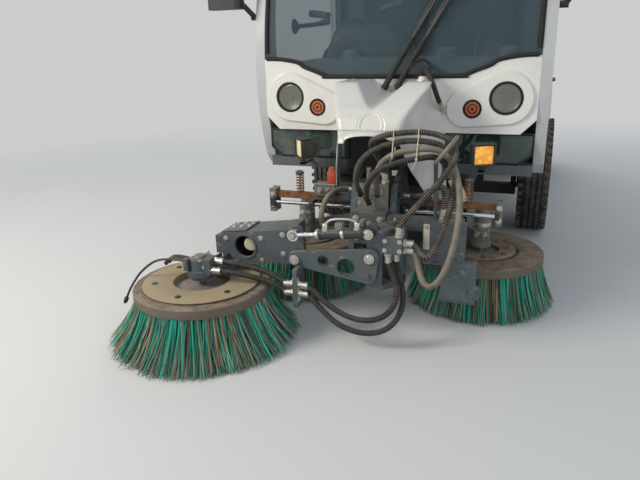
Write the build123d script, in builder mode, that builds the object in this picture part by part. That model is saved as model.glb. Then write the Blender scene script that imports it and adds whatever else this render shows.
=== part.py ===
from build123d import *
import math
import os

# Compact road sweeper with a front third brush. Modelled in the machine's own frame: X to the
# machine's left, Y rearwards from the lamp panel, Z up from the ground, then moved at the end so
# that the origin is the bottom centre of the whole machine's box.

# Running gear
WHEELBASE = 1750.0
FRONT_OVERHANG = 1150.0
TRACK = 1230.0
TYRE_DIAMETER = 660.0
TYRE_WIDTH = 170.0
RIM_DIAMETER = 406.0
RIM_WALL = 9.0
SPINDLE_DIAMETER = 50.0
KINGPIN_X = 542.0
KINGPIN_DIAMETER = 24.0
AXLE_DROP = 95.0
PIN_GAP = 0.05
MOVING_GAP = 6.0

# Chassis
LASHING_Y = (1540.0, 3260.0)
LASHING_Z = 368.0
LASHING_HOLE = 32.0
LASHING_PLATE = 16.0
RAIL_X = 295.0
RAIL_WIDTH = 50.0
RAIL_BOTTOM = 400.0
RAIL_HEIGHT = 80.0
RAIL_FRONT = 120.0
REAR_OVERHANG = 570.0
BUMPER_HEIGHT = 100.0
BUMPER_HALF = 600.0
SKIN_IN = 601.0
SKIN = 21.0

# Cab
CAB_HALF = 600.0
HOOP_WIDTH = 45.0
ROOF_Z = 1900.0
ROOF_HEIGHT = 95.0
CAB_BACK = 1195.0
PANEL_Z = 1000.0
SILL_Z = 555.0
SILL_HEIGHT = 45.0
ARCH_RADIUS = 405.0
FRAME_BAND = 45.0
DOOR_EDGE_Y = 95.0
DOOR_THICKNESS = 36.0
GLASS = 6.0
SEAT_Z = 780.0
ARCH_BOX_HALF = 345.0
ARCH_BOX_FRONT = 770.0
SHEET = 25.0
HINGE_PIN = 10.0
HINGE_KNUCKLE = 18.0
HINGE_HEIGHT = 50.0
DOOR_HINGES_Z = (650.0, 1050.0)

# Lamp panel and nose
LAMP_Z = 882.0
LAMP_EDGE = 124.0
LAMP_DIAMETER = 131.0
BLINKER_EDGE = 257.0
BLINKER_Z = 838.0
BLINKER_DIAMETER = 73.0
PANEL_THICKNESS = 25.0
POD_HEIGHT = 14.0
PANEL_BOTTOM = 735.0
GLASS_BOTTOM_CENTRE = 967.0
GLASS_BOTTOM_SIDE = 1049.0
NOSE_WALL = 6.0
NOSE_BOTTOM = 470.0

# Hopper
HOPPER_FRONT = 1420.0
HOPPER_REAR = 3370.0
HOPPER_BOTTOM = 905.0
HOPPER_TOP = 1920.0
HOPPER_HALF = 605.0
HOPPER_WALL = 8.0
HOPPER_ROUND = 60.0
TIP_Y = 3405.0
TIP_Z = 885.0
TIP_PIN = 30.0
TIP_BASE_Y = 3120.0
TIP_BASE_Z = 480.0
TIP_EYE_Y = 2900.0
TIP_EYE_Z = 856.0
TIP_EYE_RADIUS = 34.0
TIP_DRIFT = 9.0
BARREL_EYE_GAP = 46.0
TIP_X = 413.0
FLAP_Y = 3346.0
FLAP_Z = 1942.0
DUCT_DIAMETER = 190.0
DUCT_WALL = 5.0
DUCT_Y = 1305.0
DUCT_INLET_Z = 1190.0

# Brushes
SIDE_BRUSH_X = 412.0
SIDE_BRUSH_Y = -10.0
SIDE_BRUSH_REACH = 324.0
THIRD_BRUSH_X = -600.0
THIRD_BRUSH_Y = -700.0
THIRD_BRUSH_REACH = 385.0
DISC_RADIUS = 268.0
BRUSH_SHAFT = 12.0
DISC_Z = 200.0
TIP_CLEAR = 2.0
SIDE_PIVOT_X = 165.0
SIDE_PIVOT_Y = 215.0
SIDE_PIVOT_Z = 440.0
SLEW_X = 125.0
SLEW_Y = -470.0
SLEW_PIN = 44.0
LINK_Y = -585.0
LINK_THICKNESS = 16.0
LINK_RIGHT = (60.0, 355.0)
LINK_LEFT = (-240.0, 322.0)
TILT_RISE = 100.0
TILT_Y = -602.0
LINK_PIN = 26.0
RING = (300.0, -420.0, 735.0)
HOSE = 24.0
BOX_DEPTH = 150.0
BOX_WALL = 10.0
BOX_HOLE = 90.0
POST_X = (225.0, 385.0)
POST_Y = (-426.0, -386.0)
FOOT_X = (300.0, 432.0)
BAR_Y = -200.0
BAR_END = 502.0
JUNCTION = (104.0, 176.0)
JUNCTION_Z = (372.0, 436.0)

FRONT_Y = FRONT_OVERHANG
REAR_Y = FRONT_OVERHANG + WHEELBASE
AXLE_Z = TYRE_DIAMETER / 2
WHEEL_X = TRACK / 2
RAIL_TOP = RAIL_BOTTOM + RAIL_HEIGHT
REAR_END = REAR_Y + REAR_OVERHANG
FLOOR_TOP = SILL_Z + SILL_HEIGHT
HOOP_OUT = CAB_HALF + HOOP_WIDTH
MIRROR_REACH = HOOP_OUT + 205.0
DOOR_SKIN_X = HOOP_OUT - 2.0
LAMP_X = CAB_HALF - LAMP_EDGE
BLINKER_X = CAB_HALF - BLINKER_EDGE
WINDOW_TOP = ROOF_Z - 105.0
BACK_WINDOW_TOP = ROOF_Z - 160.0
LAMP_DEPTH = 15.0
SIDES = (("left", 1), ("right", -1))

nodes = []


def keep(part, label):
    """Name a finished piece and put it on the list of pieces to write."""
    part.label = label
    nodes.append(part)


def across(x):
    """Plane at a distance along X, drawn as (Y, Z)."""
    return Plane.YZ.offset(x)


def facing(y):
    """Plane at a distance along Y, drawn as (X, Z) and extruded forwards."""
    return Plane.XZ.offset(-y)


def level(z):
    """Plane at a height, drawn as (X, Y)."""
    return Plane.XY.offset(z)


def block(x0, x1, y0, y1, z0, z1, mode=Mode.ADD):
    """A rectangular stretch of material between two corners, inside the current part."""
    with BuildSketch(level(z0)) as base:
        with Locations(((x0 + x1) / 2, (y0 + y1) / 2)):
            Rectangle(abs(x1 - x0), abs(y1 - y0))
    extrude(base.sketch, amount=z1 - z0, mode=mode)


def rod_between(a, b, radius, mode=Mode.ADD):
    """A round bar from one point to another, inside the current part."""
    start, end = Vector(a), Vector(b)
    with BuildSketch(Plane(origin=start, z_dir=end - start)) as base:
        Circle(radius)
    extrude(base.sketch, amount=(end - start).length, mode=mode)


# Front profile of the cab in (Y, Z), shared by the hoops, the windscreen and the roof
SCREEN_TOP = (430.0, ROOF_Z)
SCREEN_MID = (150.0, ROOF_Z - 340.0)
SCREEN_FOOT = (0.0, PANEL_Z)
HOOP_MID = (14.0, 790.0)
HOOP_FOOT = (72.0, 600.0)


def wheel_arch_point(radius, z):
    """Y of the front side of the front wheel arch at a height."""
    return FRONT_Y - math.sqrt(radius**2 - (z - AXLE_Z) ** 2)


def cab_outline():
    """Side outline of the cab frame, from the foot of the hoop round the roof to the arch."""
    arch_start = wheel_arch_point(ARCH_RADIUS, SILL_Z)
    arch_mid = FRONT_Y - ARCH_RADIUS * math.cos(math.radians(62))
    arch_mid_z = AXLE_Z + ARCH_RADIUS * math.sin(math.radians(62))
    arch_top = (FRONT_Y, AXLE_Z + ARCH_RADIUS)
    Line(arch_top, (CAB_BACK, arch_top[1]))
    Line((CAB_BACK, arch_top[1]), (CAB_BACK, ROOF_Z))
    Line((CAB_BACK, ROOF_Z), SCREEN_TOP)
    ThreePointArc(SCREEN_TOP, SCREEN_MID, SCREEN_FOOT)
    ThreePointArc(SCREEN_FOOT, HOOP_MID, HOOP_FOOT)
    Line(HOOP_FOOT, (HOOP_FOOT[0] + 40, SILL_Z))
    Line((HOOP_FOOT[0] + 40, SILL_Z), (arch_start, SILL_Z))
    ThreePointArc((arch_start, SILL_Z), (arch_mid, arch_mid_z), arch_top)


def door_outline(gap):
    """Side outline of the door opening, or of the door when a gap is given."""
    inner = ARCH_RADIUS + FRAME_BAND + gap
    bottom = FLOOR_TOP + gap
    front = DOOR_EDGE_Y + gap
    back = CAB_BACK - 65 - gap
    top = ROOF_Z - 50 - gap
    arch_start = wheel_arch_point(inner, bottom)
    arch_end_z = AXLE_Z + math.sqrt(inner**2 - (FRONT_Y - back) ** 2)
    arch_mid = FRONT_Y - inner * math.cos(math.radians(60))
    arch_mid_z = AXLE_Z + inner * math.sin(math.radians(60))
    Line((front, bottom), (front, 1150))
    ThreePointArc((front, 1150), (178 + gap, ROOF_Z - 400), (405 + gap, top))
    Line((405 + gap, top), (back, top))
    Line((back, top), (back, arch_end_z))
    ThreePointArc((back, arch_end_z), (arch_mid, arch_mid_z), (arch_start, bottom))
    Line((arch_start, bottom), (front, bottom))


def window_outline(gap):
    """Side outline of the door's window, smaller by a gap for the glass."""
    Line((DOOR_EDGE_Y + 60 + gap, 960 + gap), (DOOR_EDGE_Y + 60 + gap, 1150))
    ThreePointArc((DOOR_EDGE_Y + 60 + gap, 1150), (235 + gap, ROOF_Z - 410), (440 + gap, WINDOW_TOP - gap))
    Line((440 + gap, WINDOW_TOP - gap), (CAB_BACK - 125 - gap, WINDOW_TOP - gap))
    Line((CAB_BACK - 125 - gap, WINDOW_TOP - gap), (CAB_BACK - 125 - gap, 960 + gap))
    Line((CAB_BACK - 125 - gap, 960 + gap), (DOOR_EDGE_Y + 60 + gap, 960 + gap))


# Chassis frame: two rails, cross members, hopper posts, tip towers and the rear bumper
with BuildPart() as chassis:
    for sign in (1, -1):
        rail_in = sign * (RAIL_X - RAIL_WIDTH / 2)
        rail_out = sign * (RAIL_X + RAIL_WIDTH / 2)
        block(rail_in, rail_out, RAIL_FRONT, REAR_END - 70, RAIL_BOTTOM, RAIL_TOP)
        for pad_y in (240.0, CAB_BACK - 145.0):
            block(rail_in, rail_out, pad_y, pad_y + 70, RAIL_TOP, SILL_Z)
        block(rail_in, rail_out, 1650, 1730, RAIL_TOP, HOPPER_BOTTOM)
        with BuildSketch(across(sign * 440 if sign > 0 else -480)):
            with Locations((TIP_Y, (RAIL_BOTTOM + TIP_Z) / 2)):
                Rectangle(52, TIP_Z - RAIL_BOTTOM)
            with Locations((TIP_Y, TIP_Z)):
                Circle(26)
        extrude(amount=40)
        with BuildSketch(across(sign * 360 if sign > 0 else -376)):
            with Locations((TIP_BASE_Y, TIP_BASE_Z)):
                Circle(38)
                Rectangle(76, 60, align=(Align.CENTER, Align.MAX))
        extrude(amount=16)
        rod_between((sign * 368, TIP_BASE_Y, TIP_BASE_Z), (sign * 445, TIP_BASE_Y, TIP_BASE_Z), 14)
        block(rail_out - sign, sign * 376, TIP_BASE_Y - 38, TIP_BASE_Y + 38, RAIL_BOTTOM, RAIL_BOTTOM + 30)
    for cross_y in (150.0, 1460.0, 2365.0):
        block(-RAIL_X, RAIL_X, cross_y, cross_y + 70, RAIL_BOTTOM, RAIL_TOP)
    block(-BUMPER_HALF, BUMPER_HALF, REAR_END - 95, REAR_END - LAMP_DEPTH, 330, 330 + BUMPER_HEIGHT)
    block(-480, 480, TIP_Y - 26, TIP_Y + 26, RAIL_BOTTOM, RAIL_BOTTOM + 60)
    with BuildSketch(across(-500)):
        with Locations((TIP_Y, TIP_Z)):
            Circle(TIP_PIN / 2 + PIN_GAP)
    extrude(amount=1000, mode=Mode.SUBTRACT)
    # lashing eyes under the rails
    for sign in (1, -1):
        with BuildSketch(across(sign * RAIL_X - LASHING_PLATE / 2)):
            for eye_y in LASHING_Y:
                with Locations((eye_y, LASHING_Z)):
                    Circle(32)
                with Locations((eye_y, (LASHING_Z + RAIL_BOTTOM) / 2)):
                    Rectangle(64, RAIL_BOTTOM - LASHING_Z)
                with Locations((eye_y, LASHING_Z)):
                    Circle(LASHING_HOLE / 2, mode=Mode.SUBTRACT)
        extrude(amount=LASHING_PLATE)
keep(chassis.part, "chassis_frame")

# Front axle: dropped beam with a yoke at each end that holds the kingpins
BEAM_Z = AXLE_Z - AXLE_DROP
LUG = 20.0
LUG_GAP = 62.0
with BuildPart() as front_axle:
    block(-(KINGPIN_X - 30), KINGPIN_X - 30, FRONT_Y - 35, FRONT_Y + 35, BEAM_Z - 30, BEAM_Z + 30)
    for sign in (1, -1):
        web_in = sign * (KINGPIN_X - 60)
        web_out = sign * (KINGPIN_X - 30)
        block(web_in, web_out, FRONT_Y - 35, FRONT_Y + 35, BEAM_Z - 30, AXLE_Z + LUG_GAP + LUG)
        block(sign * 270, sign * 320, FRONT_Y - 35, FRONT_Y + 35, BEAM_Z + 30, RAIL_BOTTOM)
        for lug_z in (AXLE_Z - LUG_GAP - LUG, AXLE_Z + LUG_GAP):
            with BuildSketch(level(lug_z)):
                with Locations((sign * KINGPIN_X, FRONT_Y)):
                    Circle(25)
                with Locations((sign * (KINGPIN_X - 20), FRONT_Y)):
                    Rectangle(40, 50)
                with Locations((sign * KINGPIN_X, FRONT_Y)):
                    Circle(KINGPIN_DIAMETER / 2 + PIN_GAP, mode=Mode.SUBTRACT)
            extrude(amount=LUG)
keep(front_axle.part, "front_axle")

# Knuckles, one on each kingpin, with the spindle that the wheel turns on
SPINDLE_END = WHEEL_X + 62
for side_name, sign in SIDES:
    with BuildPart() as knuckle:
        with Locations((sign * KINGPIN_X, FRONT_Y, AXLE_Z)):
            Cylinder(25, 2 * LUG_GAP - 2)
            Cylinder(KINGPIN_DIAMETER / 2, 2 * (LUG_GAP + LUG))
        rod_between(
            (sign * KINGPIN_X, FRONT_Y, AXLE_Z), (sign * SPINDLE_END, FRONT_Y, AXLE_Z), SPINDLE_DIAMETER / 2
        )
        rod_between(
            (sign * (KINGPIN_X + 32), FRONT_Y, AXLE_Z), (sign * (KINGPIN_X + 44), FRONT_Y, AXLE_Z), 110
        )
    keep(knuckle.part, "knuckle_" + side_name)

# Rear axle: tube with spindles, hung under the rails
with BuildPart() as rear_axle:
    rod_between((-(WHEEL_X - 45), REAR_Y, AXLE_Z), (WHEEL_X - 45, REAR_Y, AXLE_Z), 45)
    rod_between((-SPINDLE_END, REAR_Y, AXLE_Z), (SPINDLE_END, REAR_Y, AXLE_Z), SPINDLE_DIAMETER / 2)
    for sign in (1, -1):
        block(sign * 270, sign * 320, REAR_Y - 60, REAR_Y + 60, AXLE_Z - 20, RAIL_BOTTOM)
        rod_between(
            (sign * (WHEEL_X - 52), REAR_Y, AXLE_Z), (sign * (WHEEL_X - 32), REAR_Y, AXLE_Z), 110
        )
keep(rear_axle.part, "rear_axle")

# Wheels: a pressed rim and a tyre for each corner, turned about the axle's line
TYRE_R = TYRE_DIAMETER / 2
RIM_R = RIM_DIAMETER / 2
HALF_TYRE = TYRE_WIDTH / 2
for axle_name, axle_y in (("front", FRONT_Y), ("rear", REAR_Y)):
    for side_name, sign in SIDES:
        centre = Plane(origin=(sign * WHEEL_X, axle_y, AXLE_Z), x_dir=(0, 0, 1), z_dir=(0, sign, 0))
        with BuildPart() as rim:
            # drawn as (radius, distance outwards along the axle)
            with BuildSketch(centre) as rim_section:
                with BuildLine():
                    Polyline(
                        (RIM_R, -68),
                        (RIM_R, 68),
                        (RIM_R + 12, 76),
                        (RIM_R + 12, 80),
                        (RIM_R - RIM_WALL, 80),
                        (RIM_R - RIM_WALL, 40),
                        (150, 24),
                        (95, 40),
                        (70, 62),
                        (SPINDLE_DIAMETER / 2 + PIN_GAP, 62),
                        (SPINDLE_DIAMETER / 2 + PIN_GAP, -20),
                        (50, -20),
                        (60, 26),
                        (95, 26),
                        (150, 10),
                        (RIM_R - RIM_WALL, 26),
                        (RIM_R - RIM_WALL, -80),
                        (RIM_R + 12, -80),
                        (RIM_R + 12, -76),
                        (RIM_R, -68),
                    )
                make_face()
            revolve(axis=Axis((sign * WHEEL_X, axle_y, AXLE_Z), (1, 0, 0)))
            with BuildSketch(Plane(origin=(0, axle_y, AXLE_Z), z_dir=(sign, 0, 0))):
                with PolarLocations(150, 8):
                    Circle(17)
            extrude(amount=WHEEL_X + 60, mode=Mode.SUBTRACT)
        keep(rim.part, axle_name + "_rim_" + side_name)
        with BuildPart() as tyre:
            with BuildSketch(centre):
                with BuildLine():
                    bead = Line((RIM_R, -64), (RIM_R, 64))
                    ThreePointArc((RIM_R, 64), (RIM_R + 55, HALF_TYRE), (TYRE_R - 18, HALF_TYRE - 12))
                    Line((TYRE_R - 18, HALF_TYRE - 12), (TYRE_R, HALF_TYRE - 34))
                    Line((TYRE_R, HALF_TYRE - 34), (TYRE_R, 34 - HALF_TYRE))
                    Line((TYRE_R, 34 - HALF_TYRE), (TYRE_R - 18, 12 - HALF_TYRE))
                    ThreePointArc((TYRE_R - 18, 12 - HALF_TYRE), (RIM_R + 55, -HALF_TYRE), (RIM_R, -64))
                make_face()
            revolve(axis=Axis((sign * WHEEL_X, axle_y, AXLE_Z), (1, 0, 0)))
        keep(tyre.part, axle_name + "_tyre_" + side_name)

# Cab frame: a silver hoop each side with the door opening, joined by headers
with BuildPart() as cab_frame:
    with BuildSketch(across(CAB_HALF)):
        with BuildLine():
            cab_outline()
        make_face()
        with BuildLine():
            door_outline(0)
        make_face(mode=Mode.SUBTRACT)
    extrude(amount=HOOP_WIDTH)
    for hinge_z in DOOR_HINGES_Z:
        block(CAB_HALF + 10, HOOP_OUT + 1, DOOR_EDGE_Y - 26, DOOR_EDGE_Y + 1,
              hinge_z, hinge_z + HINGE_HEIGHT, mode=Mode.SUBTRACT)
    with BuildSketch(level(DOOR_HINGES_Z[0] - 25)):
        with Locations((CAB_HALF + 32, DOOR_EDGE_Y - 12)):
            Circle(HINGE_PIN / 2 + PIN_GAP)
    extrude(amount=DOOR_HINGES_Z[1] - DOOR_HINGES_Z[0] + HINGE_HEIGHT + 50, mode=Mode.SUBTRACT)
    mirror(about=Plane.YZ)
    block(-CAB_HALF, CAB_HALF, 450, 505, ROOF_Z - 40, ROOF_Z)
    block(-CAB_HALF, CAB_HALF, CAB_BACK - 35, CAB_BACK, ROOF_Z - 50, ROOF_Z)
keep(cab_frame.part, "cab_frame")

# Cab tub: floor, seat platform, arch boxes and the back wall with its window
BACK_IN = CAB_BACK - 35
with BuildPart() as tub:
    block(-CAB_HALF, CAB_HALF, HOOP_FOOT[0] - 45, ARCH_BOX_FRONT, SILL_Z, FLOOR_TOP)
    block(-ARCH_BOX_HALF, ARCH_BOX_HALF, ARCH_BOX_FRONT, CAB_BACK, SILL_Z, FLOOR_TOP)
    block(-ARCH_BOX_HALF, ARCH_BOX_HALF, 640, 640 + SHEET, FLOOR_TOP, SEAT_Z)
    block(-ARCH_BOX_HALF, ARCH_BOX_HALF, 640, CAB_BACK, SEAT_Z - SHEET, SEAT_Z)
    block(-200, 200, HOOP_FOOT[0] - 45, HOOP_FOOT[0] - 25, FLOOR_TOP, PANEL_BOTTOM)
    for sign in (1, -1):
        block(sign * (ARCH_BOX_HALF - SHEET), sign * ARCH_BOX_HALF, 640, CAB_BACK, FLOOR_TOP, SEAT_Z)
        block(sign * ARCH_BOX_HALF, sign * CAB_HALF, ARCH_BOX_FRONT - SHEET, ARCH_BOX_FRONT, SILL_Z, SEAT_Z)
        block(sign * ARCH_BOX_HALF, sign * CAB_HALF, ARCH_BOX_FRONT - SHEET, CAB_BACK, SEAT_Z - SHEET, SEAT_Z)
    block(-CAB_HALF, CAB_HALF, BACK_IN, CAB_BACK, SEAT_Z, ROOF_Z - 50)
    block(-430, 430, BACK_IN - 1, CAB_BACK + 1, 1180, BACK_WINDOW_TOP, mode=Mode.SUBTRACT)
keep(tub.part, "cab_tub")

# Roof: a shallow moulded shell over the headers
with BuildPart() as roof:
    with BuildSketch(across(-HOOP_OUT - 5)):
        with BuildLine():
            Polyline((SCREEN_TOP[0] - 70, ROOF_Z), (CAB_BACK + 15, ROOF_Z), (CAB_BACK + 15, ROOF_Z + ROOF_HEIGHT - 15))
            Line((CAB_BACK + 15, ROOF_Z + ROOF_HEIGHT - 15), (700, ROOF_Z + ROOF_HEIGHT))
            ThreePointArc(
                (700, ROOF_Z + ROOF_HEIGHT), (500, ROOF_Z + ROOF_HEIGHT - 18), (SCREEN_TOP[0] - 70, ROOF_Z + 25)
            )
            Line((SCREEN_TOP[0] - 70, ROOF_Z + 25), (SCREEN_TOP[0] - 70, ROOF_Z))
        make_face()
    extrude(amount=2 * (HOOP_OUT + 5))
    fillet(roof.edges().filter_by(Axis.Z).sort_by(Axis.Y)[-2:], 40)
    block(-HOOP_OUT + 15, HOOP_OUT - 15, SCREEN_TOP[0] + 40, CAB_BACK - 5, ROOF_Z, ROOF_Z + 50, mode=Mode.SUBTRACT)
keep(roof.part, "roof")

# Beacon on the roof's centre line
with BuildPart() as beacon:
    with Locations((0, 980, ROOF_Z + ROOF_HEIGHT - 9)):
        Cylinder(62, 22, align=(Align.CENTER, Align.CENTER, Align.MIN))
    with Locations((0, 980, ROOF_Z + ROOF_HEIGHT + 13)):
        Cone(54, 44, 105, align=(Align.CENTER, Align.CENTER, Align.MIN))
    with BuildSketch(across(-80)):
        with BuildLine():
            Polyline(
                (700, ROOF_Z + ROOF_HEIGHT), (CAB_BACK + 15, ROOF_Z + ROOF_HEIGHT - 15),
                (CAB_BACK + 15, ROOF_Z), (700, ROOF_Z), (700, ROOF_Z + ROOF_HEIGHT),
            )
        make_face()
    extrude(amount=160, mode=Mode.SUBTRACT)
keep(beacon.part, "beacon")


def panel_top():
    """Front edge shared by the lamp panel and the windscreen, in (X, Z), from right to left."""
    Line((-CAB_HALF, GLASS_BOTTOM_SIDE), (-430, GLASS_BOTTOM_SIDE - 18))
    ThreePointArc((-430, GLASS_BOTTOM_SIDE - 18), (-350, 990), (-270, GLASS_BOTTOM_CENTRE))
    Line((-270, GLASS_BOTTOM_CENTRE), (270, GLASS_BOTTOM_CENTRE))
    ThreePointArc((270, GLASS_BOTTOM_CENTRE), (350, 990), (430, GLASS_BOTTOM_SIDE - 18))
    Line((430, GLASS_BOTTOM_SIDE - 18), (CAB_HALF, GLASS_BOTTOM_SIDE))


# Windscreen: one curved sheet between the hoops, cut to the lamp panel's top edge
with BuildPart() as windscreen:
    with BuildSketch(across(-CAB_HALF)):
        with BuildLine():
            ThreePointArc(
                (SCREEN_TOP[0] + 6, SCREEN_TOP[1] - 8), (SCREEN_MID[0] + 5, SCREEN_MID[1]), (SCREEN_FOOT[0] + 5, 940)
            )
            Line((SCREEN_FOOT[0] + 5, 940), (SCREEN_FOOT[0] + 5 + GLASS, 940))
            ThreePointArc(
                (SCREEN_FOOT[0] + 5 + GLASS, 940),
                (SCREEN_MID[0] + 5 + GLASS, SCREEN_MID[1]),
                (SCREEN_TOP[0] + 6 + GLASS, SCREEN_TOP[1] - 12),
            )
            Line((SCREEN_TOP[0] + 6 + GLASS, SCREEN_TOP[1] - 12), (SCREEN_TOP[0] + 6, SCREEN_TOP[1] - 8))
        make_face()
    extrude(amount=2 * CAB_HALF)
    with BuildSketch(facing(600)):
        with BuildLine():
            panel_top()
            Polyline(
                (CAB_HALF, GLASS_BOTTOM_SIDE), (CAB_HALF + 5, 900), (-CAB_HALF - 5, 900),
                (-CAB_HALF, GLASS_BOTTOM_SIDE),
            )
        make_face()
    extrude(amount=700, mode=Mode.SUBTRACT)
keep(windscreen.part, "windscreen")

# Other cab glass: lower corner panes and the back window
with BuildPart() as cab_glass:
    for sign in (1, -1):
        with BuildSketch(facing(HOOP_FOOT[0] - 38)):
            with BuildLine():
                Polyline(
                    (sign * 200, FLOOR_TOP), (sign * (CAB_HALF - 55), FLOOR_TOP), (sign * CAB_HALF, FLOOR_TOP + 45),
                    (sign * CAB_HALF, PANEL_BOTTOM), (sign * 200, PANEL_BOTTOM), (sign * 200, FLOOR_TOP),
                )
            make_face()
        extrude(amount=GLASS)
    block(-430, 430, CAB_BACK - 20, CAB_BACK - 20 + GLASS, 1180, BACK_WINDOW_TOP)
keep(cab_glass.part, "cab_glass")

# Lamp panel with the raised pod round each headlamp and indicator
with BuildPart() as fascia:
    with BuildSketch(facing(PANEL_THICKNESS)):
        with BuildLine():
            panel_top()
            Polyline(
                (CAB_HALF, GLASS_BOTTOM_SIDE), (CAB_HALF, PANEL_BOTTOM + 60), (CAB_HALF - 60, PANEL_BOTTOM),
                (60 - CAB_HALF, PANEL_BOTTOM), (-CAB_HALF, PANEL_BOTTOM + 60), (-CAB_HALF, GLASS_BOTTOM_SIDE),
            )
        make_face()
    extrude(amount=PANEL_THICKNESS)
    for sign in (1, -1):
        for pod_y, shrink in ((0, 0), (-POD_HEIGHT, 8)):
            with BuildSketch(facing(pod_y)):
                with Locations((sign * LAMP_X, LAMP_Z)):
                    Circle(112 - shrink)
                with Locations((sign * (BLINKER_X - 30), BLINKER_Z)):
                    Circle(82 - shrink)
                make_hull()
        loft(ruled=True)
        with BuildSketch(facing(-POD_HEIGHT)):
            with Locations((sign * LAMP_X, LAMP_Z)):
                Circle(LAMP_DIAMETER / 2 + 3)
            with Locations((sign * BLINKER_X, BLINKER_Z)):
                Circle(BLINKER_DIAMETER / 2 + 3)
        extrude(amount=-20, mode=Mode.SUBTRACT)
keep(fascia.part, "lamp_panel")

# Headlamps and indicators in the pods
LAMP_SEAT = 20 - POD_HEIGHT
with BuildPart() as front_lamps:
    for sign in (1, -1):
        for lamp_x, lamp_z, diameter, depth in (
            (LAMP_X, LAMP_Z, LAMP_DIAMETER, 16.0),
            (BLINKER_X, BLINKER_Z, BLINKER_DIAMETER, 20.0),
        ):
            with BuildSketch(facing(LAMP_SEAT)):
                with Locations((sign * lamp_x, lamp_z)):
                    Circle(diameter / 2)
            extrude(amount=depth)
keep(front_lamps.part, "front_lamps")

# Nose cover: hollow white moulding over the brush gear, open below with an arch at its front
# rows of (height, front Y, front half width, back half width)
NOSE_ROWS = (
    (NOSE_BOTTOM, -400.0, 150.0, 250.0),
    (755.0, -405.0, 121.0, 232.0),
    (840.0, -385.0, 136.0, 222.0),
    (945.0, -222.0, 200.0, 212.0),
    (962.0, -180.0, 200.0, 205.0),
)


def nose_loft(inset):
    """The nose's shape lofted over its rows, each made smaller by an inset."""
    with BuildPart() as shape:
        for height, front_y, front_half, back_half in NOSE_ROWS:
            top_drop = inset if height > 800 else 0
            with BuildSketch(level(height - top_drop)):
                with BuildLine():
                    Polyline(
                        (-(back_half - inset), 0), (-(front_half - inset), front_y + inset),
                        (front_half - inset, front_y + inset), (back_half - inset, 0), (-(back_half - inset), 0),
                    )
                make_face()
        loft(ruled=True)
    return shape.part


nose_outer = nose_loft(0)
nose_inner = nose_loft(NOSE_WALL)
with BuildPart() as nose:
    add(nose_outer)
    add(nose_inner, mode=Mode.SUBTRACT)
    # the skirt rises from the sides' low point to the front arch
    with BuildSketch(across(-300)):
        with BuildLine():
            Polyline(
                (-450, 745), (-395, 745), (-330, 640), (-200, 500), (-120, NOSE_BOTTOM), (-120, 400),
                (-450, 400), (-450, 745),
            )
        make_face()
    extrude(amount=600, mode=Mode.SUBTRACT)
    with BuildSketch(facing(-250)):
        with BuildLine():
            Polyline((-100, 700), (100, 700), (88, 755))
            ThreePointArc((88, 755), (0, 778), (-88, 755))
            Line((-88, 755), (-100, 700))
        make_face()
    extrude(amount=200, mode=Mode.SUBTRACT)
    # scoop in the top for the wiper pivots
    for scoop_z, shrink in ((975, 0), (915, 12)):
        with BuildSketch(level(scoop_z)):
            with BuildLine():
                Polyline(
                    (shrink - 95, 1), (0, 2 * shrink - 150), (95 - shrink, 1), (shrink - 95, 1),
                )
            make_face()
    loft(ruled=True, mode=Mode.SUBTRACT)
keep(nose.part, "nose_cover")

# Dashboard under the windscreen, and the steering column and wheel
with BuildPart() as dashboard:
    with BuildSketch(across(-CAB_HALF)):
        with BuildLine():
            Polyline((36, 780), (36, 940), (110, 975), (330, 955), (390, 900), (390, 830), (200, 780), (36, 780))
        make_face()
    extrude(amount=2 * CAB_HALF)
    with Locations((-280, 390, 880)):
        Box(150, 200, 300, mode=Mode.SUBTRACT)
keep(dashboard.part, "dashboard")

COLUMN_X = -270.0
with BuildPart() as steering_wheel:
    wheel_plane = Plane(origin=(COLUMN_X, 470, 1010), z_dir=(0, 0.55, 0.84))
    with BuildSketch(Plane(origin=wheel_plane.origin, x_dir=wheel_plane.z_dir, z_dir=(0, -0.84, 0.55))):
        with Locations((0, 190)):
            Circle(14)
    revolve(axis=Axis(wheel_plane.origin, wheel_plane.z_dir))
    with BuildSketch(wheel_plane):
        Circle(45)
        Rectangle(376, 26)
        Rectangle(26, 376, align=(Align.CENTER, Align.MAX))
    extrude(amount=8, both=True)
    rod_between((COLUMN_X, 470, 1010), (COLUMN_X, 330, 796), 24)
    rod_between((COLUMN_X, 330, 800), (COLUMN_X, 330, FLOOR_TOP), 24)
keep(steering_wheel.part, "steering_wheel")

# Seats: two cushions and two backs on the platform
with BuildPart() as seats:
    for sign in (1, -1):
        with BuildSketch(level(SEAT_Z)):
            with Locations((sign * 255, 860)):
                RectangleRounded(430, 420, 40)
        extrude(amount=110)
        with BuildSketch(facing(BACK_IN)):
            with Locations((sign * 255, SEAT_Z + 390)):
                RectangleRounded(430, 560, 60)
        extrude(amount=80)
keep(seats.part, "seats")

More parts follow.
